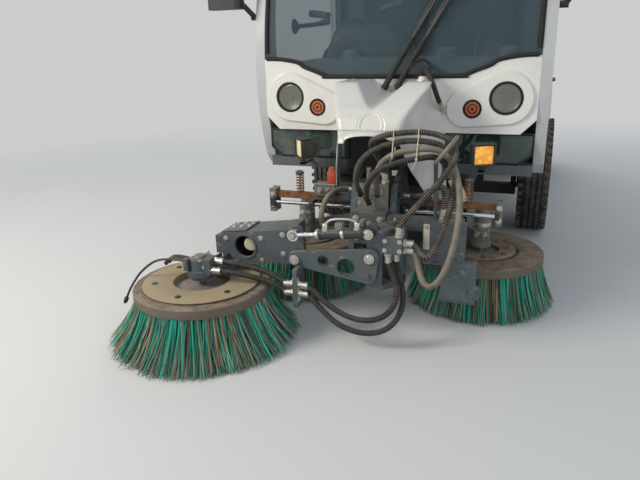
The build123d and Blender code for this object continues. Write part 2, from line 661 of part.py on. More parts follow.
# Doors, hinged on the front edge of the opening, and their glass
for side_name, sign in SIDES:
    with BuildPart() as door:
        with BuildSketch(across(DOOR_SKIN_X - DOOR_THICKNESS)):
            with BuildLine():
                door_outline(MOVING_GAP)
            make_face()
            with BuildLine():
                window_outline(0)
            make_face(mode=Mode.SUBTRACT)
        extrude(amount=DOOR_THICKNESS)
        block(DOOR_SKIN_X - 20, DOOR_SKIN_X + 12, 905, 1035, 880, 905)
        for hinge_z in DOOR_HINGES_Z:
            with BuildSketch(level(hinge_z + 3)):
                with Locations((CAB_HALF + 32, DOOR_EDGE_Y - 12)):
                    Circle(HINGE_KNUCKLE / 2)
                with Locations((CAB_HALF + 32, DOOR_EDGE_Y)):
                    Rectangle(14, 24)
            extrude(amount=HINGE_HEIGHT - 6)
            with BuildSketch(level(hinge_z - 15)):
                with Locations((CAB_HALF + 32, DOOR_EDGE_Y - 12)):
                    Circle(HINGE_PIN / 2)
            extrude(amount=HINGE_HEIGHT + 30)
    door_part = door.part if sign > 0 else mirror(door.part, about=Plane.YZ)
    keep(door_part, "door_" + side_name)
    with BuildPart() as pane:
        with BuildSketch(across(DOOR_SKIN_X - DOOR_THICKNESS + 18)):
            with BuildLine():
                window_outline(0)
            make_face()
        extrude(amount=GLASS)
    pane_part = pane.part if sign > 0 else mirror(pane.part, about=Plane.YZ)
    keep(pane_part, "door_glass_" + side_name)

# Mirrors on stalks from the hoops
with BuildPart() as mirrors:
    for sign in (1, -1):
        with BuildSketch(level(1268)):
            with Locations((sign * (MIRROR_REACH - 85), -25)):
                RectangleRounded(170, 70, 30)
        extrude(amount=300)
        rod_between((sign * HOOP_OUT, 58, 1235), (sign * (HOOP_OUT + 34), 58, 1235), 14)
        rod_between((sign * (HOOP_OUT + 20), 58, 1235), (sign * (MIRROR_REACH - 120), -15, 1330), 12)
keep(mirrors.part, "mirrors")

# Wipers parked upright at the centre of the windscreen
with BuildPart() as wipers:
    for foot_x, top_x in ((-28.0, 150.0), (28.0, 235.0)):
        with BuildSketch(facing(0)):
            with Locations((foot_x, 935)):
                Circle(15)
        extrude(amount=26)
        rod_between((foot_x, -20, 935), (top_x, 10, 1290), 6)
        rod_between((foot_x + (top_x - foot_x) * 0.45, -8, 1100), (top_x + 60, 50, 1440), 7)
        rod_between((top_x, 10, 1290), (top_x + 4, 24, 1300), 6)
keep(wipers.part, "wipers")

# Work lamps either side of the nose, on brackets from the lamp panel
with BuildPart() as work_lamps:
    for sign in (1, -1):
        with Locations((sign * 400, -95, 665)):
            Box(100, 62, 96)
        block(sign * 388, sign * 412, -80, HOOP_FOOT[0] - 45, 585, 597)
        block(sign * 388, sign * 412, -80, -66, 585, 625)
keep(work_lamps.part, "work_lamps")

# Front mount: subframe ahead of the chassis that carries the brush arms, with the slew boss and post
MOUNT_TOP = 470.0
MOUNT_BOTTOM = 400.0
with BuildPart() as front_mount:
    block(-RAIL_X + 25, RAIL_X - 25, 60, RAIL_FRONT + 30, MOUNT_BOTTOM, RAIL_TOP)
    block(-70, 70, -400, 60, MOUNT_BOTTOM - 60, MOUNT_TOP)
    with BuildSketch(across(-95)):
        with BuildLine():
            Polyline((-380, 260), (-300, 560), (-120, 620), (-60, 470), (-120, 300), (-380, 260))
        make_face()
    extrude(amount=25)
    with BuildSketch(across(70)):
        with BuildLine():
            Polyline((-380, 260), (-300, 560), (-120, 620), (-60, 470), (-120, 300), (-380, 260))
        make_face()
    extrude(amount=25)
    # slew boss and its arm
    block(40, SLEW_X + 30, SLEW_Y, -380, 262, 418)
    with BuildSketch(level(252)):
        with Locations((SLEW_X, SLEW_Y)):
            Circle(42)
    extrude(amount=176)
    # beam to the parking post, the post and its foot
    block(70, 372, -395, -345, 410, 460)
    block(*POST_X, *POST_Y, 290, MOUNT_TOP - 10)
    post_front, post_back = POST_Y
    with BuildSketch(across(FOOT_X[0])):
        with BuildLine():
            Polyline(
                (post_front, 310), (post_back, 310), (post_back, 262), (post_back - 22, 158),
                (post_front - 8, 142), (post_front - 18, 160), (post_front, 310),
            )
        make_face()
    extrude(amount=FOOT_X[1] - FOOT_X[0])
    # bars out to both sides, on the cheek plates
    for sign in (1, -1):
        block(sign * 80, sign * BAR_END, BAR_Y - 12, BAR_Y + 12, 463, 485)
    # side brush pivot posts under a plate on the cross beam
    block(-205, 205, 90, 250, MOUNT_BOTTOM - 24, MOUNT_BOTTOM)
    for sign in (1, -1):
        with BuildSketch(level(SIDE_PIVOT_Z - 145)):
            with Locations((sign * SIDE_PIVOT_X, SIDE_PIVOT_Y)):
                Circle(30)
        extrude(amount=105)
    with BuildSketch(level(200)):
        with Locations((SLEW_X, SLEW_Y)):
            Circle(SLEW_PIN / 2 + PIN_GAP)
    extrude(amount=300, mode=Mode.SUBTRACT)
    with BuildSketch(level(SIDE_PIVOT_Z - 146)):
        with Locations((SIDE_PIVOT_X, SIDE_PIVOT_Y), (-SIDE_PIVOT_X, SIDE_PIVOT_Y)):
            Circle(12 + PIN_GAP)
    extrude(amount=91, mode=Mode.SUBTRACT)
    # hose ring on its rod
    with BuildSketch(Plane(origin=RING, x_dir=(-0.6, 0, -0.8), z_dir=(0, 1, 0))):
        with Locations((60, 0)):
            Circle(7)
    revolve(axis=Axis(RING, (0.8, 0, -0.6)))
    rod_between((RING[0] - 36, RING[1], RING[2] - 48), (RING[0] - 36, -370, 455), 8)
keep(front_mount.part, "front_mount")

# Side brush arms: a pivot plate on each post, a bent arm and the brush motor at its end
SIDE_MOTOR_Z = DISC_Z + 62
for side_name, sign in SIDES:
    with BuildPart() as brush_arm:
        with BuildSketch(level(SIDE_PIVOT_Z - 145 - MOVING_GAP - 30)):
            with Locations((sign * SIDE_PIVOT_X, SIDE_PIVOT_Y)):
                Circle(42)
            with Locations((sign * SIDE_BRUSH_X, SIDE_BRUSH_Y)):
                Circle(34)
            make_hull()
        extrude(amount=30)
        with BuildSketch(level(SIDE_PIVOT_Z - 145 - MOVING_GAP)):
            with Locations((sign * SIDE_PIVOT_X, SIDE_PIVOT_Y)):
                Circle(12)
        extrude(amount=MOVING_GAP + 90)
        with Locations((sign * SIDE_BRUSH_X, SIDE_BRUSH_Y, DISC_Z + 45)):
            Cylinder(44, 30, align=(Align.CENTER, Align.CENTER, Align.MIN))
        with Locations((sign * SIDE_BRUSH_X, SIDE_BRUSH_Y, 280)):
            Cylinder(36, 95, align=(Align.CENTER, Align.CENTER, Align.MIN))
            Box(60, 60, 50, align=(Align.CENTER, Align.CENTER, Align.MIN))
        with Locations((sign * SIDE_BRUSH_X, SIDE_BRUSH_Y, DISC_Z + 15)):
            Cylinder(BRUSH_SHAFT, 40, align=(Align.CENTER, Align.CENTER, Align.MIN))
    keep(brush_arm.part, "brush_arm_" + side_name)

TUFTS = 40


def brush(x, y, reach, bore_radius):
    """A brush: dished disc with a rim, and tufts that flare from its underside to the ground."""
    with BuildPart() as head:
        with BuildSketch(Plane.XZ):
            with BuildLine():
                Polyline(
                    (bore_radius, DISC_Z), (DISC_RADIUS - 8, DISC_Z), (DISC_RADIUS, DISC_Z + 8),
                    (DISC_RADIUS, DISC_Z + 24), (DISC_RADIUS - 30, DISC_Z + 34), (DISC_RADIUS - 100, DISC_Z + 34),
                    (DISC_RADIUS - 112, DISC_Z + 20), (bore_radius, DISC_Z + 20), (bore_radius, DISC_Z),
                )
            make_face()
        revolve(axis=Axis.Z)
        root_r = DISC_RADIUS - 30
        drop = DISC_Z - TIP_CLEAR
        tuft = Vector(reach - 14 - root_r, 0, -drop)
        with BuildPart(mode=Mode.PRIVATE) as one:
            with BuildSketch(Plane(origin=(root_r, 0, DISC_Z + 1), x_dir=(1, 0, 0), z_dir=(0, 0, -1))):
                Rectangle(34, 17)
            with BuildSketch(
                Plane(origin=(reach - 15, 0, TIP_CLEAR), x_dir=(1, 0, 0), z_dir=(0, 0, -1))
            ):
                Rectangle(30, 34)
            loft(ruled=True)
        with PolarLocations(0, TUFTS):
            add(one.part)
    return head.part.moved(Location((x, y, 0)))


for side_name, sign in SIDES:
    keep(brush(sign * SIDE_BRUSH_X, SIDE_BRUSH_Y, SIDE_BRUSH_REACH, BRUSH_SHAFT + PIN_GAP), "brush_" + side_name)

# Third brush arm: slew bracket on the boss, link plate, tilt cylinder above it and the box arm
CHEEK_Y = LINK_Y + LINK_THICKNESS / 2 + 4
with BuildPart() as slew_bracket:
    for plate_z in (222.0, 434.0):
        with BuildSketch(level(plate_z)):
            with Locations((SLEW_X, SLEW_Y)):
                Circle(46)
            with Locations((LINK_RIGHT[0] + 12, CHEEK_Y + 20)):
                Rectangle(70, 36)
            make_hull()
        extrude(amount=24)
    with BuildSketch(level(222)):
        with Locations((SLEW_X, SLEW_Y)):
            Circle(SLEW_PIN / 2)
    extrude(amount=236)
    with BuildSketch(facing(CHEEK_Y + 24)):
        with Locations((LINK_RIGHT[0] + 12, (222 + 458) / 2)):
            Rectangle(60, 458 - 222)
        with Locations((LINK_RIGHT[0], LINK_RIGHT[1] + TILT_RISE)):
            Circle(26)
    extrude(amount=24)
    for pin_z, pin_end in ((LINK_RIGHT[1], LINK_Y), (LINK_RIGHT[1] + TILT_RISE, TILT_Y)):
        with BuildSketch(facing(CHEEK_Y)):
            with Locations((LINK_RIGHT[0], pin_z)):
                Circle(LINK_PIN / 2)
        extrude(amount=CHEEK_Y - pin_end + LINK_THICKNESS / 2 + 8)
    # hose junction under the top plate
    block(*JUNCTION, -578, -519, *JUNCTION_Z)
keep(slew_bracket.part, "slew_bracket")

with BuildPart() as link_plate:
    with BuildSketch(facing(LINK_Y + LINK_THICKNESS / 2)):
        with Locations(LINK_RIGHT, (LINK_RIGHT[0] - 10, LINK_RIGHT[1] - 72)):
            Circle(34)
        with Locations(LINK_LEFT):
            Circle(32)
        make_hull()
        with Locations(LINK_RIGHT, LINK_LEFT):
            Circle(LINK_PIN / 2 + PIN_GAP, mode=Mode.SUBTRACT)
        with Locations((-35, 309)):
            Circle(33, mode=Mode.SUBTRACT)
        with Locations((-125, 326)):
            Circle(20, mode=Mode.SUBTRACT)
    extrude(amount=LINK_THICKNESS)
    # hose clip under the left pin
    block(-230, -210, LINK_Y - 72, LINK_Y + 8, 144, 300)
keep(link_plate.part, "link_plate")

TILT_RIGHT = (LINK_RIGHT[0], LINK_RIGHT[1] + TILT_RISE)
TILT_LEFT = (LINK_LEFT[0], LINK_LEFT[1] + TILT_RISE)
tilt_line = Vector(TILT_LEFT[0] - TILT_RIGHT[0], 0, TILT_LEFT[1] - TILT_RIGHT[1])
tilt_dir = tilt_line.normalized()
with BuildPart() as tilt_barrel:
    start = Vector(TILT_RIGHT[0], TILT_Y, TILT_RIGHT[1])
    with BuildSketch(Plane(origin=start + tilt_dir * 14, z_dir=tilt_dir)):
        Circle(19)
    extrude(amount=190)
    with BuildSketch(facing(TILT_Y + LINK_THICKNESS / 2)):
        with Locations(TILT_RIGHT):
            Circle(24)
    extrude(amount=LINK_THICKNESS)
    with BuildSketch(facing(TILT_Y + 30)):
        with Locations(TILT_RIGHT):
            Circle(LINK_PIN / 2 + PIN_GAP)
    extrude(amount=60, mode=Mode.SUBTRACT)
    with BuildSketch(Plane(origin=start + tilt_dir * 205, z_dir=-tilt_dir)):
        Circle(9)
    extrude(amount=40, mode=Mode.SUBTRACT)
keep(tilt_barrel.part, "tilt_barrel")

with BuildPart() as tilt_rod:
    end = Vector(TILT_LEFT[0], TILT_Y, TILT_LEFT[1])
    with BuildSketch(Plane(origin=start + tilt_dir * 165, z_dir=tilt_dir)):
        Circle(9)
    extrude(amount=tilt_line.length - 165 - 14)
    with BuildSketch(facing(TILT_Y + LINK_THICKNESS / 2)):
        with Locations(TILT_LEFT):
            Circle(22)
    extrude(amount=LINK_THICKNESS)
    with BuildSketch(facing(TILT_Y + 30)):
        with Locations(TILT_LEFT):
            Circle(LINK_PIN / 2 + PIN_GAP)
    extrude(amount=60, mode=Mode.SUBTRACT)
keep(tilt_rod.part, "tilt_rod")

# The box arm is a welded box: plates all round, with a large hole in its front plate
BOX_FRONT = CHEEK_Y + 4
BOX_CORNERS = ((-572.0, 246.0), (-572.0, 392.0), (-262.0, 432.0), (-262.0, 300.0))
with BuildPart() as box_arm:
    with BuildSketch(facing(BOX_FRONT + BOX_DEPTH)):
        Polygon(*BOX_CORNERS, align=None)
    extrude(amount=BOX_DEPTH)
    with BuildSketch(facing(BOX_FRONT + BOX_DEPTH - BOX_WALL)) as inside:
        Polygon(*BOX_CORNERS, align=None)
        offset(amount=-BOX_WALL, kind=Kind.INTERSECTION, mode=Mode.REPLACE)
    extrude(amount=BOX_DEPTH - 2 * BOX_WALL, mode=Mode.SUBTRACT)
    with BuildSketch(facing(BOX_FRONT + BOX_WALL)):
        with Locations((-467, 345)):
            Circle(BOX_HOLE / 2)
    extrude(amount=BOX_WALL, mode=Mode.SUBTRACT)
    # plate on its outer end
    block(-600, -571, BOX_FRONT, BOX_FRONT + 90, 306, 381)
    with BuildSketch(facing(CHEEK_Y + 24)):
        with Locations(LINK_LEFT):
            Circle(32)
        with Locations(TILT_LEFT):
            Circle(26)
        with Locations((-300, 335)):
            Rectangle(30, 96)
        make_hull()
    extrude(amount=20)
    for pin_at, pin_end in ((LINK_LEFT, LINK_Y), (TILT_LEFT, TILT_Y)):
        with BuildSketch(facing(CHEEK_Y + 4)):
            with Locations(pin_at):
                Circle(LINK_PIN / 2)
        extrude(amount=CHEEK_Y + 4 - pin_end + LINK_THICKNESS / 2 + 8)
    # arm forward over the brush, with the motor
    with BuildSketch(level(DISC_Z + 62)):
        with Locations((-560, BOX_FRONT - 14)):
            Rectangle(130, 46)
        with Locations((THIRD_BRUSH_X, THIRD_BRUSH_Y)):
            Circle(54)
        make_hull()
    extrude(amount=22)
    with Locations((THIRD_BRUSH_X, THIRD_BRUSH_Y, DISC_Z + 46)):
        Cylinder(43, 82, align=(Align.CENTER, Align.CENTER, Align.MIN))
    with Locations((THIRD_BRUSH_X, THIRD_BRUSH_Y, DISC_Z + 15)):
        Cylinder(BRUSH_SHAFT, 50, align=(Align.CENTER, Align.CENTER, Align.MIN))
    block(THIRD_BRUSH_X + 30, THIRD_BRUSH_X + 60, THIRD_BRUSH_Y - 32, THIRD_BRUSH_Y + 26, 272, 336)
keep(box_arm.part, "box_arm")
keep(brush(THIRD_BRUSH_X, THIRD_BRUSH_Y, THIRD_BRUSH_REACH, BRUSH_SHAFT + PIN_GAP), "third_brush")

# Suction mouth between the side brushes and the front wheels, and the duct up to the hopper
MOUTH_Y = 560.0
with BuildPart() as suction_mouth:
    with BuildSketch(level(20)):
        with Locations((0, MOUTH_Y)):
            RectangleRounded(560, 280, 30)
    with BuildSketch(level(110)):
        with Locations((0, MOUTH_Y)):
            RectangleRounded(520, 240, 30)
    with BuildSketch(level(200)):
        with Locations((0, MOUTH_Y)):
            Circle(DUCT_DIAMETER / 2 + 8)
    loft(ruled=True)
    with BuildSketch(level(20)):
        with Locations((0, MOUTH_Y)):
            RectangleRounded(548, 268, 24)
    with BuildSketch(level(104)):
        with Locations((0, MOUTH_Y)):
            RectangleRounded(508, 228, 24)
    with BuildSketch(level(200)):
        with Locations((0, MOUTH_Y)):
            Circle(DUCT_DIAMETER / 2)
    loft(ruled=True, mode=Mode.SUBTRACT)
    for sign in (1, -1):
        with Locations((sign * 255, MOUTH_Y + 160, 60)):
            Cylinder(58, 36, rotation=(0, 90, 0))
        block(sign * 225, sign * 237, MOUTH_Y + 90, MOUTH_Y + 170, 60, 130)
        block(sign * 270, sign * 290, MOUTH_Y - 12, MOUTH_Y + 12, 60, RAIL_BOTTOM)
keep(suction_mouth.part, "suction_mouth")

DUCT_POINTS = (
    (0, MOUTH_Y, 200), (0, MOUTH_Y, 420), (0, DUCT_Y, 420), (0, DUCT_Y, DUCT_INLET_Z),
    (0, HOPPER_FRONT - MOVING_GAP, DUCT_INLET_Z),
)
with BuildPart() as suction_duct:
    with BuildLine():
        duct_line = FilletPolyline(*DUCT_POINTS, radius=(170, 170, 105))
    with BuildSketch(Plane(origin=DUCT_POINTS[0], z_dir=(0, 0, 1))):
        Circle(DUCT_DIAMETER / 2)
        Circle(DUCT_DIAMETER / 2 - DUCT_WALL, mode=Mode.SUBTRACT)
    sweep()
keep(suction_duct.part, "suction_duct")

# Hopper: hollow body open at the rear, with the duct's inlet and the tip lugs


def hopper_body(inset, rear):
    """The hopper's shape made smaller by an inset, up to a rear end."""
    with BuildPart() as body:
        with BuildSketch(across(inset - HOPPER_HALF)):
            with BuildLine():
                Polyline(
                    (HOPPER_FRONT + inset, 1040), (HOPPER_FRONT + inset, HOPPER_TOP - 120 - 0.3 * inset),
                    (HOPPER_FRONT + 90 + 0.3 * inset, HOPPER_TOP - inset), (rear, HOPPER_TOP - inset),
                    (rear, HOPPER_BOTTOM + inset), (1640, HOPPER_BOTTOM + inset), (HOPPER_FRONT + inset, 1040),
                )
            make_face()
        extrude(amount=2 * (HOPPER_HALF - inset))
        fillet(body.edges().filter_by(Axis.Y).group_by(Axis.Z)[-1], HOPPER_ROUND - inset)
    return body.part


hopper_outer = hopper_body(0, HOPPER_REAR)
hopper_inner = hopper_body(HOPPER_WALL, HOPPER_REAR + 1)
with BuildPart() as hopper:
    add(hopper_outer)
    add(hopper_inner, mode=Mode.SUBTRACT)
    with BuildSketch(facing(HOPPER_FRONT + 60)):
        with Locations((0, DUCT_INLET_Z)):
            Circle(DUCT_DIAMETER / 2)
    extrude(amount=61, mode=Mode.SUBTRACT)
    for lug_x in (487.0, -513.0):
        with BuildSketch(across(lug_x)):
            with BuildLine():
                Polyline(
                    (HOPPER_REAR - 90, HOPPER_BOTTOM + 1), (HOPPER_REAR - 10, HOPPER_BOTTOM + 1),
                    (TIP_Y, TIP_Z + 20), (TIP_Y, TIP_Z - 24), (HOPPER_REAR - 90, HOPPER_BOTTOM + 1),
                )
            make_face()
            with Locations((TIP_Y, TIP_Z)):
                Circle(24)
        extrude(amount=26)
    for pin_x in (440.0, -500.0):
        with BuildSketch(across(pin_x)):
            with Locations((TIP_Y, TIP_Z)):
                Circle(TIP_PIN / 2)
        extrude(amount=60)
    # eye brackets for the tip cylinders
    for sign in (1, -1):
        with BuildSketch(across(sign * 360 if sign > 0 else -376)):
            with Locations((TIP_EYE_Y, TIP_EYE_Z)):
                Circle(26)
            with Locations((TIP_EYE_Y, (TIP_EYE_Z + HOPPER_BOTTOM + 1) / 2)):
                Rectangle(52, HOPPER_BOTTOM + 1 - TIP_EYE_Z)
        extrude(amount=16)
        rod_between((sign * 368, TIP_EYE_Y, TIP_EYE_Z), (sign * 445, TIP_EYE_Y, TIP_EYE_Z), 14)
        for ear_x in (364, 424):
            with BuildSketch(across(sign * ear_x if sign > 0 else -ear_x - 12)):
                with Locations((FLAP_Y, FLAP_Z)):
                    Circle(14)
                with Locations((FLAP_Y, (FLAP_Z + HOPPER_TOP - 2) / 2)):
                    Rectangle(28, FLAP_Z - HOPPER_TOP + 2)
            extrude(amount=12)
        rod_between((sign * 364, FLAP_Y, FLAP_Z), (sign * 436, FLAP_Y, FLAP_Z), 8)
keep(hopper.part, "hopper")

with BuildPart() as hopper_door:
    with BuildSketch(facing(HOPPER_REAR + MOVING_GAP + 30)):
        with Locations((0, (HOPPER_BOTTOM + 35 + HOPPER_TOP) / 2)):
            RectangleRounded(2 * HOPPER_HALF - 10, HOPPER_TOP - HOPPER_BOTTOM - 35, 50)
    extrude(amount=30)
    for sign in (1, -1):
        with BuildSketch(across(sign * 380 if sign > 0 else -420)):
            with BuildLine():
                Polyline(
                    (FLAP_Y, FLAP_Z + 12), (HOPPER_REAR + 36, FLAP_Z + 12), (HOPPER_REAR + 36, HOPPER_TOP - 20),
                    (HOPPER_REAR + 6, HOPPER_TOP - 20), (HOPPER_REAR + 6, FLAP_Z - 8), (FLAP_Y, FLAP_Z - 8),
                    (FLAP_Y, FLAP_Z + 12),
                )
            make_face()
            with Locations((FLAP_Y, FLAP_Z)):
                Circle(13)
                Circle(8 + PIN_GAP, mode=Mode.SUBTRACT)
        extrude(amount=40)
keep(hopper_door.part, "hopper_door")

# Tip cylinders under the hopper: barrels on the chassis pins, rods on the hopper's eyes
TIP_BASE = Vector(0, TIP_BASE_Y, TIP_BASE_Z)
TIP_EYE = Vector(0, TIP_EYE_Y, TIP_EYE_Z)
tip_dir = (TIP_EYE - TIP_BASE).normalized()
tip_length = (TIP_EYE - TIP_BASE).length
BARREL_LENGTH = tip_length - BARREL_EYE_GAP
with BuildPart() as tip_barrels:
    for sign in (1, -1):
        base = TIP_BASE + Vector(sign * TIP_X, 0, 0)
        with BuildSketch(Plane(origin=base + tip_dir * 20, z_dir=tip_dir)):
            Circle(34)
        extrude(amount=BARREL_LENGTH - 20)
        rod_between((sign * 382, TIP_BASE_Y, TIP_BASE_Z), (sign * 444, TIP_BASE_Y, TIP_BASE_Z), 30)
        with BuildSketch(Plane(origin=base + tip_dir * 44, z_dir=tip_dir)):
            Circle(20 + PIN_GAP)
        extrude(amount=BARREL_LENGTH, mode=Mode.SUBTRACT)
        rod_between(
            (sign * 360, TIP_BASE_Y, TIP_BASE_Z), (sign * 460, TIP_BASE_Y, TIP_BASE_Z), 14 + PIN_GAP,
            mode=Mode.SUBTRACT,
        )
keep(tip_barrels.part, "tip_barrels")

with BuildPart() as tip_rods:
    for sign in (1, -1):
        base = TIP_BASE + Vector(sign * TIP_X, 0, 0)
        with BuildSketch(Plane(origin=base + tip_dir * 50, z_dir=tip_dir)):
            Circle(20)
        extrude(amount=tip_length - 50)
        rod_between((sign * 382, TIP_EYE_Y, TIP_EYE_Z), (sign * 444, TIP_EYE_Y, TIP_EYE_Z), TIP_EYE_RADIUS)
        rod_between(
            (sign * 360, TIP_EYE_Y, TIP_EYE_Z), (sign * 460, TIP_EYE_Y, TIP_EYE_Z), 14 + TIP_DRIFT,
            mode=Mode.SUBTRACT,
        )
keep(tip_rods.part, "tip_rods")

# Engine: one plain block between the rails, on its mounts
with BuildPart() as engine:
    block(-235, 235, 2460, 3230, 425, 850)
    for mount_y in (2520.0, 3120.0):
        block(-RAIL_X + RAIL_WIDTH / 2, RAIL_X - RAIL_WIDTH / 2, mount_y, mount_y + 60, 430, 470)
keep(engine.part, "engine_block")

# Side lockers: tank, outer skin, rear wheel arch and mudguard on each side
with BuildPart() as side_lockers:
    for sign in (1, -1):
        block(sign * (RAIL_X + RAIL_WIDTH / 2), sign * SKIN_IN, 1600, 2330, 415, 440)
        block(sign * 360, sign * SKIN_IN, 1600, 2330, 440, 860)
        with BuildSketch(across(SKIN_IN if sign > 0 else -SKIN_IN - SKIN)):
            with BuildLine():
                Polyline((1560, 400), (1560, 890), (3425, 890), (3425, 400), (1560, 400))
            make_face()
            with Locations((REAR_Y, AXLE_Z)):
                Circle(TYRE_R + 58, mode=Mode.SUBTRACT)
        extrude(amount=SKIN)
        with BuildSketch(across(WHEEL_X - HALF_TYRE if sign > 0 else -WHEEL_X - HALF_TYRE)):
            with Locations((REAR_Y, AXLE_Z)):
                Circle(TYRE_R + 62)
                Circle(TYRE_R + 52, mode=Mode.SUBTRACT)
            with Locations((REAR_Y, AXLE_Z + 90)):
                Rectangle(900, 900, align=(Align.CENTER, Align.MAX), mode=Mode.SUBTRACT)
        extrude(amount=TYRE_WIDTH)
        for lug_z in (485, 557, 725, 797):
            if sign > 0:
                with BuildSketch(level(lug_z)):
                    with Locations((SKIN_IN + 10, 3438)):
                        Rectangle(20, 40)
                    with Locations((SKIN_IN + 8, 3450)):
                        Circle(HINGE_PIN / 2 + PIN_GAP, mode=Mode.SUBTRACT)
                extrude(amount=12)
keep(side_lockers.part, "side_lockers")

# Engine cover: louvred rear door hinged on the left locker
with BuildPart() as engine_cover:
    block(-590, 588, 3437, 3459, 442, 852)
    with BuildSketch(facing(3470)):
        for row_z in (560.0, 735.0):
            with Locations((0, row_z)):
                with GridLocations(70, 1, 13, 1):
                    Rectangle(34, 130)
    extrude(amount=40, mode=Mode.SUBTRACT)
    for knuckle_z in (500, 740):
        with BuildSketch(level(knuckle_z)):
            with Locations((SKIN_IN + 8, 3450)):
                Circle(HINGE_KNUCKLE / 2)
            with Locations((SKIN_IN - 6, 3450)):
                Rectangle(28, 14)
        extrude(amount=54)
        with BuildSketch(level(knuckle_z - 14)):
            with Locations((SKIN_IN + 8, 3450)):
                Circle(HINGE_PIN / 2)
        extrude(amount=82)
keep(engine_cover.part, "engine_cover")

with BuildPart() as rear_lamps:
    for sign in (1, -1):
        block(sign * 450, sign * 585, REAR_END - LAMP_DEPTH, REAR_END, 345, 415)
keep(rear_lamps.part, "rear_lamps")

# Valve block between the front mount's cheeks
with BuildPart() as valve_block:
    block(-65, 65, -330, -170, MOUNT_TOP, 575)
    with Locations((-35, -250, 575), (0, -250, 575), (35, -250, 575)):
        Cylinder(13, 45, align=(Align.CENTER, Align.CENTER, Align.MIN))
keep(valve_block.part, "valve_block")


def hose(points, diameter):
    """A hose along straight runs joined by arcs as large as the runs allow."""
    corners = [Vector(p) for p in points]
    radii = []
    for before, corner, after in zip(corners, corners[1:], corners[2:]):
        turn = math.radians((corner - before).get_angle(after - corner))
        shorter = min((corner - before).length, (after - corner).length)
        radii.append(0.45 * shorter / math.tan(turn / 2))
    print("hose radii", [round(r) for r in radii])
    with BuildPart() as tube:
        with BuildLine():
            route = FilletPolyline(*points, radius=radii)
        with BuildSketch(Plane(origin=corners[0], z_dir=corners[1] - corners[0])):
            Circle(diameter / 2)
        sweep()
    section = math.pi * diameter**2 / 4
    print("hose length", round(route.length), "share of volume", tube.part.volume / section / route.length)
    return tube.part


LOOP_HOSES = (
    (
        (-40, -330, 538), (-40, -372, 538), (-50, -415, 610), (-22, -434, 690), (50, -440, 742), (140, -440, 768),
        (225, -422, 768), (298, -404, 745), (336, -425, 680), (342, -480, 590), (322, -545, 480),
        (300, -590, 412), (274, -606, 378), (246, -586, 384), (218, -552, 412), (176, -552, 412),
    ),
    (
        (30, -330, 538), (30, -372, 538), (38, -430, 610), (60, -462, 680), (110, -474, 722), (180, -470, 742),
        (250, -458, 748), (304, -438, 728), (350, -470, 662), (372, -525, 560), (368, -590, 440),
        (338, -628, 330), (298, -640, 280), (262, -614, 284), (236, -570, 332), (222, -546, 384), (176, -546, 384),
    ),
)
for number, points in enumerate(LOOP_HOSES, 1):
    keep(hose(points, HOSE), "loop_hose_" + str(number))

# Two more hoses of the bundle, through the ring and down onto the junction block
BUNDLE_HOSES = (
    (
        (45, -300, 575), (45, -300, 618), (34, -322, 660), (18, -365, 708), (14, -424, 758), (70, -456, 788),
        (145, -452, 800), (225, -442, 804), (296, -428, 786), (334, -432, 752), (344, -476, 716),
        (312, -512, 662), (262, -536, 600), (212, -556, 542), (174, -568, 494), (162, -566, 460),
        (162, -566, 436),
    ),
    (
        (-5, -330, 505), (-5, -380, 505), (2, -440, 555), (22, -486, 620), (70, -508, 672), (136, -506, 700),
        (206, -480, 712), (262, -440, 716), (300, -418, 690), (300, -442, 640), (264, -482, 596),
        (222, -508, 552), (182, -526, 512), (160, -534, 476), (160, -534, 436),
    ),
)
bundle = [hose(points, HOSE) for points in BUNDLE_HOSES]
keep(Compound(children=bundle), "bundle_hoses")

INNER_HOSES = (
    (
        (120, -560, 372), (120, -560, 332), (150, -588, 286), (176, -622, 225), (140, -640, 150),
        (60, -645, 118), (-30, -645, 132), (-110, -640, 180), (-166, -640, 236), (-210, -640, 236),
    ),
    (
        (146, -534, 372), (146, -534, 318), (178, -565, 250), (196, -615, 180), (152, -645, 100),
        (60, -650, 66), (-40, -648, 84), (-115, -642, 138), (-170, -640, 200), (-210, -640, 200),
    ),
)
OUTER_HOSES = (
    (
        (-230, -640, 236), (-264, -640, 236), (-320, -652, 276), (-390, -670, 300), (-450, -688, 317),
        (-498, -690, 319), (-540, -690, 319),
    ),
    (
        (-230, -640, 200), (-264, -640, 200), (-312, -655, 240), (-380, -682, 264), (-445, -710, 286),
        (-498, -716, 289), (-540, -716, 289),
    ),
)
inner = [hose(points, HOSE) for points in INNER_HOSES]
keep(Compound(children=inner), "inner_arm_hoses")
outer = [hose(points, HOSE) for points in OUTER_HOSES]
keep(Compound(children=outer), "outer_arm_hoses")

NOSE_HOSES = (
    (
        (-95, -220, 520), (-135, -220, 520), (-174, -262, 526), (-198, -335, 505), (-206, -392, 440),
        (-190, -372, 376), (-142, -310, 360), (-95, -310, 360),
    ),
    (
        (95, -220, 505), (140, -220, 505), (192, -245, 512), (244, -300, 556), (284, -352, 588),
        (298, -372, 552), (290, -370, 505), (290, -370, 460),
    ),
)
nose_tubes = [hose(points, HOSE) for points in NOSE_HOSES]
keep(Compound(children=nose_tubes), "nose_hoses")

SHIFT = Vector(
    -(MIRROR_REACH + THIRD_BRUSH_X - THIRD_BRUSH_REACH) / 2,
    -(REAR_END + THIRD_BRUSH_Y - THIRD_BRUSH_REACH) / 2,
    0,
)

os.makedirs("parts", exist_ok=True)
for piece in nodes:
    export_step(piece.moved(Location(SHIFT)), "parts/" + piece.label + ".step")
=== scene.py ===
import math

import bmesh
import bpy
from mathutils import Matrix, Vector


